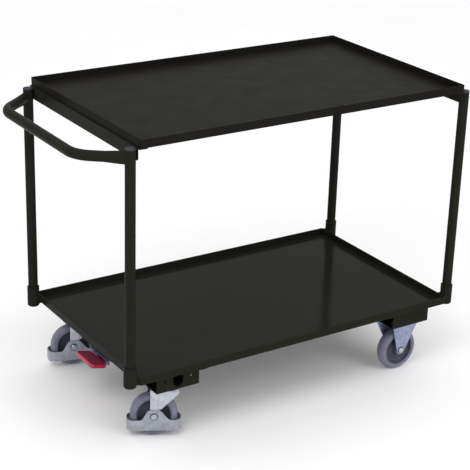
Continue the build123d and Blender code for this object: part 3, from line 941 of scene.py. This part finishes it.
@dataclass
class DeckFrame:
    """Decks, posts, rails and handle: painted steel, with its welds and caps."""

    shop: Shop
    handle_angle: float = 38.0
    bead: float = 2.0
    bead_height: float = 16.6
    bead_width: float = 9.2
    bead_reach: float = 12.2
    bead_facets: int = 120
    ripple: float = 0.14
    run_gap: float = 1.5
    run_apart: float = 14.0
    run_half: float = 1.6
    run_passes: int = 9
    run_ripple: float = 0.3
    cap_radius: float = 13.75
    cap_height: float = 4.5
    stud_radius: float = 3.0
    inner_studs: float = 80.0

    def paint(self) -> None:
        """Finish the CAD nodes that stay."""
        self.shop.paint(COAT, "post_back", "post_front", "corner_socket", "push_handle", "top_rail",
                        "console_back", "console_front")
        # The upper deck's tray takes a darker copy of the powder paint: painted shade.
        self.shop.paint(SHADED_TRAY_COAT, "top_deck")
        self.shop.paint(GLOSS_COAT, "bottom_deck")
        # The ribs under the decks take a darker copy of the powder paint: painted shade.
        self.shop.paint(COAT_SHADE, "top_long_ribs", "bottom_long_ribs", "bottom_cross_ribs")

    def bead_ring(self, name: str) -> Piece:
        """Make a weld bead round a joint, with the ripples of its passes.

        Args:
            name: The object's name.

        Returns:
            The bead, on the XY plane.
        """
        release()
        bpy.ops.mesh.primitive_torus_add(
            major_segments=self.bead_facets, minor_segments=10,
            major_radius=self.bead_height * MM, minor_radius=self.bead * MM)
        ring = settle(name_piece(name))
        facets = self.bead_facets / math.tau
        with editing(ring):
            pick(ring, Pick.VERTICES,
                 lambda v: int((math.atan2(v.co.y, v.co.x) + math.pi) * facets + 0.5) % 3 == 0)
            bpy.ops.transform.shrink_fatten(value=self.ripple * self.bead * MM)
            bpy.ops.mesh.select_all(action="SELECT")
            widen(self.bead_width / self.bead_height)
        return smooth(ring)

    def weld_handle(self) -> None:
        """Weld beads where the flattened handle ends meet the posts."""
        axis, height = centre_of("post_back_right"), centre_of("push_handle").z
        angle = math.radians(self.handle_angle)
        beads = []
        for side in (-1, 1):
            way = Vector((-math.cos(angle), -side * math.sin(angle), 0))
            centre = Vector((axis.x, side * abs(axis.y), height)) + way * self.bead_reach * MM
            turn = Matrix((AXES[2], way.cross(AXES[2]), way)).transposed().to_4x4()
            ring = self.bead_ring(f"bead_{side}")
            beads.append(settle(ring, Matrix.Translation(centre) @ turn))
        self.shop.fit(weld_together("handle_weld_beads", beads), WELD_COAT, "frame")

    def weld_sockets(self) -> None:
        """Fillet welds between the corner sockets and the lower deck's ends."""
        low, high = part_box("bottom_deck")
        base, top = low.z / MM + self.run_gap, high.z / MM - self.run_gap
        runs = []
        for corner in CORNERS:
            end = (low.x if corner.startswith("back") else high.x) / MM
            for edge in (-1, 1):
                y = centre_of(f"corner_socket_{corner}").y / MM + edge * self.run_apart
                run = block(f"run_{corner}_{edge}", (end - 1.2, y - self.run_half, base),
                            (end + self.run_half, y + self.run_half, top))
                with editing(run):
                    score(2, *(base + step * (top - base) / self.run_passes
                               for step in range(1, self.run_passes)))
                    pick(run, Pick.VERTICES, lambda v: int((v.co.z - low.z) / MM) % 2 == 0)
                    bpy.ops.transform.shrink_fatten(value=self.run_ripple * MM)
                soften(run, 0.9, 3)
                runs.append(smooth(run))
        self.shop.fit(weld_together("socket_welds", runs), WELD_COAT, "frame")

    def cap_posts(self) -> None:
        """Domed plastic plugs in the posts' upper ends."""
        top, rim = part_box("post_back_right")[1].z, self.cap_radius
        plug = turned("post_plug", [
            (11.2, -13.5), (11.4, -12.5), (11.4, -1.0), (rim - 0.3, -0.05), (rim, 0.4),
            (rim, 1.8), (rim - 0.5, 2.9), (rim - 1.6, 3.7), (rim - 3.6, 4.2), (rim - 6.0, 4.4),
            (4.0, self.cap_height)], Ends.CAPPED, 72)
        posts = [centre_of(f"post_{corner}") for corner in CORNERS]
        plugs = repeated("domed_post_plugs", plug,
                         [Matrix.Translation((post.x, post.y, top)) for post in posts])
        self.shop.fit(plugs, CAP, "frame", "post_caps")

    def fasten_rails(self) -> None:
        """Studs with nuts that hold the upper deck to its end rails."""
        nut_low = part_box("rail_nuts")[0].z
        low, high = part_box("rail_studs")
        edge = self.stud_radius * MM
        nut = hexagon("stud_nut", 10.0, 5.0, 0.5)
        collar = turned("stud_collar", [(3.1, 0.1), (5.6, 0.1), (5.6, 0.7), (3.1, 0.7)],
                        Ends.JOINED, 32)
        settle(collar, at(0, 0, 4.3))
        stud = turned("stud", [(2.4, -1.9), (3.0, -1.3), (3.0, 0.0), (2.7, 0.4), (3.0, 0.8),
                               (3.0, 9.8)], Ends.CAPPED, 24)
        far = high.y - edge
        places = [Matrix.Translation((x, y, nut_low)) for x in (low.x + edge, high.x - edge)
                  for y in (-far, -self.inner_studs * MM, self.inner_studs * MM, far)]
        pattern = smooth(weld_together("stud_set", [nut, collar, stud]))
        self.shop.fit(repeated("rail_fasteners", pattern, places), BRIGHT_ZINC, "frame",
                      "rail_studs", "rail_nuts")

    def build(self) -> None:
        """Finish the painted frame and add its small pieces."""
        self.paint()
        self.weld_handle()
        self.weld_sockets()
        self.cap_posts()
        self.fasten_rails()


@dataclass
class Wheel:
    """A wheel on an axle along Z, modelled once and copied to all four castors."""

    radius: float = 62.5
    half_width: float = 16.0
    tyre_bore: float = 47.0
    shoulder: float = 7.0
    hub_half: float = 19.7
    tread_steps: int = 14

    def crown(self, z: float) -> float:
        """Work out the crowned tread's radius.

        Args:
            z: Distance from the wheel's middle, in millimetres.

        Returns:
            The radius there.
        """
        half, drop = self.half_width, self.shoulder
        arc = (half * half + drop * drop) / (2 * drop)
        return self.radius - arc + math.sqrt(arc * arc - z * z)

    def tyre(self) -> Piece:
        """Make the tyre, with a moulded step on each side and a crowned tread.

        Returns:
            The pattern to copy.
        """
        bore, half = self.tyre_bore, self.half_width
        side = [(bore, half - 0.4), (bore + 0.9, half), (bore + 2.6, half),
                (bore + 3.1, half - 0.7), (bore + 3.9, half - 0.7), (bore + 4.4, half - 0.1),
                (self.crown(half) - 0.9, half - 0.1), (self.crown(half - 0.3) - 0.1, half - 0.8)]
        inner = half - 1.6
        heights = [inner * (1 - 2 * i / self.tread_steps) for i in range(self.tread_steps + 1)]
        tread = [(self.crown(z), z) for z in heights]
        return turned("tyre_pattern", side + tread + [(r, -z) for r, z in reversed(side)],
                      Ends.JOINED, 128)

    def body(self) -> Piece:
        """Make the moulded wheel body: barrel, dished web with raised rings, and rim.

        Returns:
            The pattern to copy.
        """
        half, hub = self.half_width, self.hub_half
        side = [(6.2, hub), (15.2, hub), (16.4, hub - 0.8), (17.2, hub - 3.0), (18.4, 8.2),
                (20.0, 6.3), (22.5, 5.6), (29.0, 5.6), (29.6, 6.4), (31.2, 6.4), (31.8, 5.6),
                (37.0, 5.8), (39.6, 7.4), (41.6, 11.0), (42.6, half - 1.2), (43.4, half - 0.5),
                (self.tyre_bore - 0.1, half - 0.5)]
        return turned("wheel_pattern", side + [(r, -z) for r, z in reversed(side)],
                      Ends.JOINED, 96)


@dataclass
class AxleSet:
    """Bolt with a dished round head, its washer and its lock nut, on an axle along Z."""

    grip: float
    shank: float = 5.9
    nut_flats: float = 18.0
    nut_height: float = 8.0
    threads: int = 4
    thread_pitch: float = 1.2

    def bolt(self) -> Piece:
        """Make the bolt: head at the top of Z, thread beyond the nut at the bottom.

        Returns:
            The pattern to copy.
        """
        far, top, shank = -self.grip - self.nut_height - 2.0, self.grip, self.shank
        thread = [(shank - 1.0, far), (shank - 0.1, far + 0.9)]
        for ring in range(self.threads):
            start = far + 1.0 + ring * self.thread_pitch
            thread += [(shank, start), (shank - 0.6, start + 0.6)]
        head = [(shank, far + 6.4)] + [(radius, top + rise) for radius, rise in (
            (shank, 1.1), (7.9, 1.1), (8.3, 1.5), (8.2, 2.3), (7.7, 3.2), (6.7, 4.1), (5.2, 4.7),
            (3.4, 4.95), (2.6, 4.7), (1.0, 4.6))]
        return turned("axle_bolt_pattern", thread + head, Ends.CAPPED)

    def washer(self) -> Piece:
        """Make the dished washer under the bolt's head.

        Returns:
            The pattern to copy.
        """
        return turned("axle_washer_pattern", [
            (6.0, 0.05), (10.6, 0.05), (11.0, 0.5), (10.9, 1.2), (10.2, 1.4), (9.0, 0.8),
            (6.0, 0.8)], Ends.JOINED, base=self.grip)

    def nut(self) -> Piece:
        """Make the hexagon lock nut with its ring of nylon, below the far leg.

        Returns:
            The pattern to copy.
        """
        body = hexagon("axle_nut_body", self.nut_flats, 6.4, 0.8)
        settle(body, at(0, 0, -self.grip - 6.5))
        collar = turned("axle_nut_collar", [(6.1, -6.3), (8.3, -6.3), (8.3, -7.3), (7.6, -7.9),
                                            (6.1, -7.9)], Ends.JOINED, 48, -self.grip)
        return smooth(weld_together("axle_nut_pattern", [body, collar]))

    def fit(self, shop: Shop, body: str, axles: list[Matrix], names: tuple[str, str, str],
            nodes: tuple[str, str]) -> None:
        """Fit bolts, nuts and washers on their axles.

        Args:
            shop: The shop that fits them.
            body: The CAD body that they move with.
            axles: The axles' places.
            names: Names of the bolts', the nuts' and the washers' piece.
            nodes: CAD nodes of the bolts and of the nuts.
        """
        shop.fit(repeated(names[0], self.bolt(), axles), BRIGHT_ZINC, body, nodes[0])
        shop.fit(repeated(names[1], self.nut(), axles), BRIGHT_ZINC, body, nodes[1])
        # The washers' darker steel is painted shade round the bolt heads.
        shop.fit(repeated(names[2], self.washer(), axles), SHADE_WASHER_STEEL, body)


@dataclass
class Castor:
    """What both kinds of castor have: a folded fork, a top plate and a wheel."""

    shop: Shop
    side: str
    axle_z: float = 62.5
    half_width: float = 23.0
    sheet: float = 3.0
    edge: float = 0.7
    fold: float = 3.5
    plate_z: float = 153.0
    plate_half: tuple[float, float] = (52.5, 42.5)
    plate_corner: float = 8.0

    def plate(self) -> Piece:
        """Make the bare top plate.

        Returns:
            The plate, about the castor's own place.
        """
        x, y = self.plate_half
        plate = block("top_plate", (-x, -y, self.plate_z), (x, y, self.plate_z + self.sheet),
                      self.plate_corner)
        soften(plate, 0.8)
        return plate

    def axle(self, place: Matrix, trail: float = 0.0) -> Matrix:
        """Find the place of the axle along Z, whose head faces the castor's right side.

        Args:
            place: The castor's own place.
            trail: How far behind it the axle is, in millimetres.

        Returns:
            The axle's place.
        """
        return place @ at(-trail, 0, self.axle_z) @ turn_about("X", 90)

    def fit_wheel(self, end: str, axle: Matrix, tyre: Piece,
                  wheel: Piece) -> None:
        """Fit a tyre and a wheel body on an axle.

        Args:
            end: The trolley's end, as the CAD names it.
            axle: The axle's place.
            tyre: The tyre to copy.
            wheel: The wheel body to copy.
        """
        spot = f"{end}_{self.side}"
        self.shop.fit(copy_of(tyre, f"crowned_tyre_{spot}", axle), TYRE, f"wheel_{spot}",
                      f"tyre_{spot}")
        self.shop.fit(copy_of(wheel, f"dished_wheel_{spot}", axle), HUB, f"wheel_{spot}",
                      f"wheel_hub_{spot}")


@dataclass
class FixedCastor(Castor):
    """A castor that doesn't turn: folded fork under a top plate."""

    top_back: float = 36.0
    top_front: float = 60.0
    foot: float = 13.0
    crease: float = -3.0
    panel_rim: float = 6.0
    panel_low: float = 78.0
    panel_high: float = 148.0
    panel_inset: float = 1.6
    panel_bulge: float = 1.085

    def fork(self) -> Piece:
        """Make the top plate and two tapering legs, the same shape turned half round.

        Returns:
            The fork, about the castor's own place.
        """
        fork = folded_channel("fixed_legs", -self.top_back, self.top_front, self.plate_z + 0.4,
                              self.axle_z - self.foot - 1, self.half_width, self.fold)
        rise = self.plate_z - self.axle_z
        slope = (self.top_front - self.foot) / rise
        ahead = math.degrees(math.atan(slope))
        behind = math.degrees(math.atan((self.top_back - self.foot) / rise))
        rim = self.foot + (self.panel_low - self.axle_z) * slope - self.panel_rim

        def in_panel(face: Any) -> bool:
            """Say whether a face lies in the leg's raised panel.

            Args:
                face: The face.

            Returns:
                Whether it does.
            """
            spot = face.calc_center_median() / MM
            return (abs(face.normal.y) > 0.9 and self.panel_low < spot.z < self.panel_high
                    and self.crease < spot.x < rim + (spot.z - self.panel_low) * slope)

        with editing(fork):
            trim((0, 0, 0), (0, 1, 0))
            round_foot(0, self.axle_z, self.foot,
                       (-ahead, -50, -75, -105, -135, behind - 180))
            score(0, self.crease)
            trim((rim, 0, self.panel_low), (1, 0, -slope), cut_off=False)
            score(2, self.panel_low, self.panel_high)
            pick(fork, Pick.FACES, in_panel)
            bpy.ops.mesh.inset(thickness=self.panel_inset * MM, use_boundary=True)
            widen(self.panel_bulge)
        press(fork, self.sheet, self.edge)
        far = copy_of(fork, "far_leg", turn_about("Z", 180))
        return smooth(weld_together(f"pressed_fixed_fork_{self.side}", [fork, far, self.plate()]))

    def build(self, tyre: Piece, wheel: Piece) -> Matrix:
        """Build the castor in its place.

        Args:
            tyre: The tyre to copy.
            wheel: The wheel body to copy.

        Returns:
            The castor's place.
        """
        centre = centre_of(f"tyre_front_{self.side}")
        place = Matrix.Translation((centre.x, centre.y, 0))
        self.shop.fit(settle(self.fork(), place), BLUE_ZINC, "frame", f"fixed_fork_{self.side}")
        self.fit_wheel("front", self.axle(place), tyre, wheel)
        return place


@dataclass
class SwivelCastor(Castor):
    """A castor that turns: fork hung on a ball race, with a foot guard round its wheel."""

    fold: float = 4.0
    trail: float = 35.0
    crown_z: float = 141.0
    back: float = -45.0
    crease: float = -25.0
    crease_width: float = 2.0
    panel_low: float = 86.0
    panel_high: float = 133.5
    panel_bulge: float = 1.1
    front: float = 30.0
    front_z: float = 130.0
    slant: tuple[float, float, float] = (67.5, 0.0, -52.0)
    foot: float = 12.5
    guard_half: float = 71.5
    guard_low: float = 21.5
    guard_band: float = 51.5
    guard_high: float = 81.5
    guard_crown: float = 11.2
    guard_steps: int = 12
    guard_sheet: float = 2.0
    guard_gap: float = 2.0
    guard_corner: float = 20.0
    flares: tuple[float, float] = (36.0, 46.0)

    def fork(self) -> Piece:
        """Make the fork: upright back strips, slanting front edges and raised side panels.

        Returns:
            The fork, about the castor's own place.
        """
        fork = folded_channel("fork_legs", self.back, self.front, self.crown_z,
                              self.axle_z - self.foot - 1, self.half_width, self.fold)
        low, high = self.panel_low, self.panel_high
        with editing(fork):
            trim((self.front, 0, self.front_z), self.slant)
            round_foot(-self.trail, self.axle_z, self.foot, (-60, -85, -110, -135, -160))
            score(0, self.crease, self.crease + self.crease_width)
            score(2, low - 2.5, low, high, high + 3.0)
            ahead = self.crease + self.crease_width - 0.1
            pick(fork, Pick.VERTICES, lambda v: v.co.x > ahead * MM
                 and (low - 0.1) * MM < v.co.z < (high + 0.1) * MM)
            widen(self.panel_bulge)
        press(fork, self.sheet, self.edge)
        head = turned("fork_head", [
            (9.2, -3.0), (32.0, -3.0), (33.0, -2.2), (33.0, -0.8), (32.4, -0.1), (30.6, -0.1),
            (9.2, -0.1)], Ends.JOINED, 96, self.crown_z)
        return smooth(weld_together(f"pressed_swivel_fork_{self.side}", [fork, head]))

    def seal(self) -> Piece:
        """Make the grooved ring over the balls, between the fork's head and the top plate.

        Returns:
            The ring, about the castor's own place.
        """
        return turned(f"race_seal_{self.side}", [
            (20.2, 0), (29.2, 0), (29.9, 0.7), (29.9, 1.7), (29.3, 2.2), (29.9, 2.7), (29.9, 3.9),
            (29.0, 4.8), (20.2, 4.8)], Ends.JOINED, 96, self.crown_z + 0.05)

    def top_plate(self) -> Piece:
        """Make the top plate, with the upper race pressed into its underside.

        Returns:
            The plate, about the castor's own place.
        """
        race = turned("upper_race", [
            (9.2, -6.6), (30.4, -6.6), (32.4, -5.8), (33.0, -4.2), (33.6, -1.0), (35.6, 0.05),
            (9.2, 0.05)], Ends.JOINED, 96, self.plate_z)
        return smooth(weld_together(f"pressed_swivel_plate_{self.side}", [self.plate(), race]))

    def guard(self) -> Piece:
        """Make the foot guard: a band round the lower wheel, swept up to the axle.

        Returns:
            The guard, about the castor's own place.
        """
        centre, reach, half_width = -self.trail, self.guard_half, self.half_width + self.guard_gap
        steps, fall = self.guard_steps, self.guard_high - self.guard_band
        guard = block(f"foot_guard_band_{self.side}",
                      (centre - reach, -half_width, self.guard_low),
                      (centre + reach, half_width, self.guard_high), self.guard_corner, 10)
        stations = {centre + way * (self.guard_crown + (flare - self.guard_crown) * i / steps):
                    i / steps for way, flare in zip((-1, 1), self.flares) for i in range(steps + 1)}

        def lower(drop: float, test: Callable[[float], bool]) -> None:
            """Lower the upper rim where its place along the castor passes a test.

            Args:
                drop: How far, in millimetres.
                test: Says whether the rim is lowered at a place.
            """
            pick(guard, Pick.VERTICES, lambda v: test(v.co.x / MM)
                 and v.co.z > (self.guard_high - 0.01) * MM)
            bpy.ops.transform.translate(value=(0, 0, -drop * MM))

        with editing(guard):
            pick(guard, Pick.FACES, lambda f: abs(f.normal.z) > 0.9)
            bpy.ops.mesh.delete(type="ONLY_FACE")
            score(0, *stations)
            for station, share in stations.items():
                lower(fall * share * share * (3 - 2 * share),
                      lambda x, station=station: abs(x - station) < 0.2)
            lower(fall, lambda x: not -0.1 - self.flares[0] < x - centre < self.flares[1] + 0.1)
        press(guard, self.guard_sheet, 0.55)
        return smooth(guard)

    def build(self, tyre: Piece, wheel: Piece) -> Matrix:
        """Build the castor in its place.

        Args:
            tyre: The tyre to copy.
            wheel: The wheel body to copy.

        Returns:
            The place of its top plate, which doesn't turn.
        """
        side, fit, swivel = self.side, self.shop.fit, f"swivel_{self.side}"
        axis = self.shop.joint(f"wheel_back_{side}_spin")["axis"]
        if axis[1] < 0:
            axis = [-v for v in axis]
        centre = centre_of(f"swivel_plate_{side}")
        plate_place = Matrix.Translation((centre.x, centre.y, 0))
        place = plate_place @ Matrix.Rotation(math.atan2(axis[1], axis[0]) - math.pi / 2, 4, "Z")
        axle = self.axle(place, self.trail)
        # The fork's zinc is a lighter copy of the plating: painted light.
        fit(settle(self.fork(), place), ZINC, swivel, f"swivel_fork_{side}")
        fit(settle(self.seal(), place), HUB, swivel, f"ball_ring_{side}", slot=Slot.ZINC)
        # The guard's zinc is a darker copy of the plating: painted shade.
        fit(settle(self.guard(), place), SHADED_GUARD_ZINC, swivel, f"foot_guard_{side}")
        fit(settle(self.top_plate(), plate_place), BLUE_ZINC, "frame", f"swivel_plate_{side}")
        self.fit_wheel("back", axle, tyre, wheel)
        AxleSet(self.half_width + self.guard_gap).fit(
            self.shop, swivel, [axle],
            (f"dished_axle_bolt_{side}", f"locking_axle_nut_{side}", f"dished_axle_washer_{side}"),
            (f"axle_bolt_back_{side}", f"axle_nut_back_{side}"))
        return plate_place


@dataclass
class Running:
    """All four castors and the bolts that hold them."""

    shop: Shop
    span_x: float = 40.0
    span_y: float = 30.0
    bolt_flats: float = 13.0
    head_z: float = 159.0
    nut_z: float = 146.5

    def fit_bolts(self, places: list[Matrix]) -> None:
        """Fit the bolts and nuts of the castors' top plates.

        Args:
            places: The plates' places.
        """
        head = settle(hexagon("plate_bolt_head", self.bolt_flats, 5.3, 0.6), at(0, 0, self.head_z))
        shank = turned("plate_bolt_shank", [(3.0, 144.5), (3.9, 145.4), (3.9, 146.0), (3.5, 146.5),
                                            (4.0, 147.0), (4.0, self.head_z)], Ends.CAPPED, 24)
        bolt = smooth(weld_together("plate_bolt", [head, shank]))
        body = settle(hexagon("plate_nut_body", self.bolt_flats, 5.2, 0.6), at(0, 0, self.nut_z))
        washer = turned("plate_washer", [(4.1, 151.75), (7.3, 151.75), (7.4, 152.0),
                                         (7.4, 152.85), (4.1, 152.95)], Ends.JOINED, 40)
        nut = smooth(weld_together("plate_nut", [body, washer]))
        spots = [place @ at(x, y, 0) for place in places for x in (-self.span_x, self.span_x)
                 for y in (-self.span_y, self.span_y)]
        for kind, pattern in (("bolts", bolt), ("nuts", nut)):
            self.shop.fit(repeated(f"castor_plate_{kind}", pattern, spots), BRIGHT_ZINC, "frame",
                          f"console_{kind}")

    def build(self) -> None:
        """Build the castors, then their bolts."""
        tyre, wheel = Wheel().tyre(), Wheel().body()
        castors = [FixedCastor(self.shop, side) for side in SIDES]
        fixed = [castor.build(tyre, wheel) for castor in castors]
        swivel = [SwivelCastor(self.shop, side).build(tyre, wheel) for side in SIDES]
        discard(tyre)
        discard(wheel)
        self.fit_bolts(fixed + swivel)
        AxleSet(castors[0].half_width).fit(
            self.shop, "frame", [castor.axle(place) for castor, place in zip(castors, fixed)],
            ("dished_fixed_axle_bolts", "locking_fixed_axle_nuts", "dished_fixed_axle_washers"),
            ("fixed_axle_bolts", "fixed_axle_nuts"))


@dataclass
class Brake:
    """Central brake: red pedal on a lever, its shaft, cams, push rods and shoes."""

    shop: Shop
    slope: float = 23.6
    reach: float = 108.0
    tilt: float = 37.0
    pad_half_length: float = 24.0
    pad_half: float = 47.5
    pad_half_height: float = 5.5
    back_lip: float = 13.0
    front_lip: float = 15.0
    recess: float = 2.6
    sunk: float = 1.8
    ribs: int = 5
    arm_half: float = 22.0
    steel_half: float = 2.0
    bar_half: float = 52.0
    bar_x: float = 79.5
    bar_depth: float = 19.0
    bar_back: float = 16.0
    flange: float = 4.5
    bolt_y: float = 44.0

    def place(self) -> Matrix:
        """Find the lever's own place.

        Returns:
            The place: origin on the shaft, X down the lever, Z up from it.
        """
        centre, lean = centre_of("brake_shaft"), math.radians(self.slope)
        way = Vector((-math.cos(lean), 0, -math.sin(lean)))
        up = Vector((-math.sin(lean), 0, math.cos(lean)))
        turn = Matrix((way, up.cross(way), up)).transposed().to_4x4()
        return Matrix.Translation((centre.x, 0, centre.z)) @ turn

    def pad_place(self) -> Matrix:
        """The pad's own place on the lever: its middle, tilted back towards the foot."""
        return at(self.reach, 0, 0) @ turn_about("Y", -self.tilt)

    def pad(self) -> Piece:
        """Make the pedal's pad: thick lips on both long edges and a sunk grip between them.

        Returns:
            The pad, about its own middle.
        """
        top, length, half = self.pad_half_height, self.pad_half_length, self.pad_half
        pad = block("moulded_pedal_pad", (-length, -half, -top), (length, half, top), 10.0)
        back, front = self.back_lip - length, length - self.front_lip
        with editing(pad):
            score(0, back, front)
            pick(pad, Pick.FACES, lambda f: f.normal.z < -0.9
                 and back * MM < f.calc_center_median().x < front * MM)
            bpy.ops.mesh.inset(thickness=2.0 * MM)
            bpy.ops.transform.translate(value=(0, 0, self.recess * MM))
            pick(pad, Pick.FACES, facing_up)
            bpy.ops.mesh.dissolve_faces()
            pick(pad, Pick.FACES, facing_up)
            bpy.ops.mesh.inset(thickness=5.5 * MM)
            bpy.ops.mesh.inset(thickness=1.2 * MM, depth=-self.sunk * MM)
        soften(pad, 2.2, 4, 30.0)
        return smooth(pad)

    def grip(self) -> Piece:
        """Make the ribbed grip in the pad's sunk middle.

        Returns:
            The grip, about the pad's middle.
        """
        top, half = self.pad_half_height, self.pad_half - 7
        low, high = -self.pad_half_length + 7.0, self.pad_half_length - 7.0
        bars = [block("grip_floor", (low, -half, top - 2.6), (high, half, top - 1.6), 4.0)]
        pitch = (high - low) / self.ribs
        for index in range(self.ribs):
            start = low + pitch * (index + 0.28)
            bar = block(f"grip_bar_{index}", (start, 2.5 - half, top - 1.8),
                        (start + pitch * 0.44, half - 2.5, top + 0.5), 1.0, 3)
            soften(bar, 0.5)
            bars.append(bar)
        return smooth(weld_together("pedal_grip_ribs", bars))

    def cross_bar(self) -> Piece:
        """Make the angle section across the lever's end: its upright flange carries the pad.

        Returns:
            The bar, about the lever's own place.
        """
        half = self.steel_half
        bar = block("lever_bar", (self.bar_x - self.bar_back, -self.bar_half, -half),
                    (self.bar_x + self.flange, self.bar_half, half))
        with editing(bar):
            score(0, self.bar_x)
            pick(bar, Pick.FACES, lambda f: f.normal.z < -0.9
                 and f.calc_center_median().x > self.bar_x * MM)
            bpy.ops.mesh.extrude_region_move(
                TRANSFORM_OT_translate={"value": (0, 0, (half - self.bar_depth) * MM)})
            widen(0.8)
        soften(bar, 1.2, 3)
        return bar

    def lever(self) -> Piece:
        """Make the lever: arm with a raised bead, angle bar, the pad's tongue, bolts and hub.

        Returns:
            The lever, about its own place.
        """
        half, steel = self.arm_half, self.steel_half
        arm = block("lever_arm", (7.0, -half, -steel), (self.bar_x + 2, half, steel))
        with editing(arm):
            pick(arm, Pick.FACES, facing_up)
            bpy.ops.mesh.inset(thickness=9.0 * MM)
            bpy.ops.mesh.inset(thickness=2.5 * MM, depth=2.2 * MM)
        tongue = block("lever_tongue", (-self.pad_half_length - 8.5, -half, -steel),
                       (0.0, half, steel))
        for sheet in (arm, tongue):
            soften(sheet, 0.8)
        settle(tongue, self.pad_place())
        side = [(6.6, -half), (10.2, -half), (11.0, 0.8 - half), (11.0, 6.0 - half),
                (10.4, 6.6 - half)]
        hub = turned("lever_hub", side + [(r, -z) for r, z in reversed(side)], Ends.JOINED)
        settle(hub, turn_about("X", 90))
        bolts = [settle(hexagon(f"lever_bolt_{y}", 10.0, 5.0, 0.6), at(self.bar_x - 6, y, 1.9))
                 for y in (-self.bolt_y, self.bolt_y)]
        return smooth(weld_together("pressed_pedal_lever",
                                    [arm, self.cross_bar(), tongue, hub, *bolts]))

    def build(self) -> None:
        """Build the pedal and finish the brake's CAD nodes."""
        place = self.place()
        pad_place = place @ self.pad_place()
        self.shop.fit(settle(self.pad(), pad_place), PEDAL, "brake", "pedal_pad")
        self.shop.fit(settle(self.grip(), pad_place), PEDAL_GRIP, "brake")
        self.shop.fit(settle(self.lever(), place), LEVER_STEEL, "brake", "pedal_lever")
        self.shop.paint(DARK_STEEL, "brake_shaft", "brake_cams", "brake_shoe", "kingpins")
        self.shop.paint(BRIGHT_ZINC, "brake_plunger")
        self.shop.paint(CAP, "shaft_bearings")


# ---- the studio ---------------------------------------------------------------------------------
@dataclass
class Studio:
    """Pale floor, soft light and the camera."""

    eye: tuple[float, float, float] = (-2.0124, -3.0744, 1.9162)
    look: tuple[float, float, float] = (0.51052, 0.77216, -0.37832)
    right: tuple[float, float, float] = (0.84026, -0.54141, 0.02885)
    lens: float = 109.52
    floor_size: float = 30.0
    sky_range: tuple[float, float, float, float] = (0.05, 0.85, 0.6, 1.14)

    def camera(self) -> None:
        """Place the camera and make it the scene's."""
        data = bpy.data.cameras.new("studio_camera")
        data.lens, data.sensor_width = self.lens, 36.0
        data.clip_start, data.clip_end = 0.05, 60.0
        camera = bpy.data.objects.new("studio_camera", data)
        back, right = -Vector(self.look).normalized(), Vector(self.right).normalized()
        turn = Matrix((right, back.cross(right), back)).transposed().to_4x4()
        camera.matrix_world = Matrix.Translation(self.eye) @ turn
        bpy.context.scene.collection.objects.link(camera)
        bpy.context.scene.camera = camera

    def floor(self) -> None:
        """A wide, flat, pale floor."""
        release()
        bpy.ops.mesh.primitive_grid_add(x_subdivisions=24, y_subdivisions=24, size=self.floor_size,
                                        location=(0, 0, 0))
        floor = name_piece("studio_floor")
        dress(floor, FLOOR)

    def lamp(self, name: str, eye: tuple[float, float, float], aim: tuple[float, float, float],
             size: float, power: float) -> None:
        """Add a square soft light.

        Args:
            name: The lamp's name.
            eye: Where it is.
            aim: The point that it faces.
            size: Length of its side.
            power: Its power in watts.
        """
        data = bpy.data.lights.new(name, "AREA")
        data.shape, data.size, data.energy = "SQUARE", size, power
        lamp = bpy.data.objects.new(name, data)
        lamp.location = eye
        lamp.rotation_mode = "QUATERNION"
        lamp.rotation_quaternion = (Vector(aim) - Vector(eye)).to_track_quat("-Z", "Y")
        bpy.context.scene.collection.objects.link(lamp)

    def sky(self) -> None:
        """Even light from all round, brighter from above than from the sides."""
        world = bpy.data.worlds.new("studio_sky")
        bpy.context.scene.world = world
        world.use_nodes = True
        tree = world.node_tree
        coords = tree.nodes.new("ShaderNodeTexCoord")
        split = tree.nodes.new("ShaderNodeSeparateXYZ")
        ramp = tree.nodes.new("ShaderNodeMapRange")
        for key, value in zip(RANGE, self.sky_range):
            ramp.inputs[key].default_value = value
        tree.links.new(coords.outputs["Generated"], split.inputs["Vector"])
        tree.links.new(split.outputs["Z"], ramp.inputs["Value"])
        tree.links.new(ramp.outputs["Result"], tree.nodes["Background"].inputs["Strength"])
        tree.nodes["Background"].inputs["Color"].default_value = (1, 1, 1, 1)

    def build(self) -> None:
        """Set up the studio."""
        bpy.context.scene.view_settings.view_transform = "Standard"
        self.camera()
        self.floor()
        self.sky()
        self.lamp("key_light", (-2.6, -1.6, 3.2), (0, 0, 0.4), 1.6, 40)
        self.lamp("fill_light", (1.4, -3.4, 2.2), (0, 0, 0.4), 2.0, 35)


def main() -> None:
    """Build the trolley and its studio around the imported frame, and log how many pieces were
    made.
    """
    logging.basicConfig(level=logging.INFO, format="%(name)s: %(message)s")
    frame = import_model()
    shop = Shop(frame)
    DeckFrame(shop).build()
    Running(shop).build()
    Brake(shop).build()
    Studio().build()
    release()
    LOG.info("%d new pieces", len(shop.made))


if __name__ == "__main__":
    main()
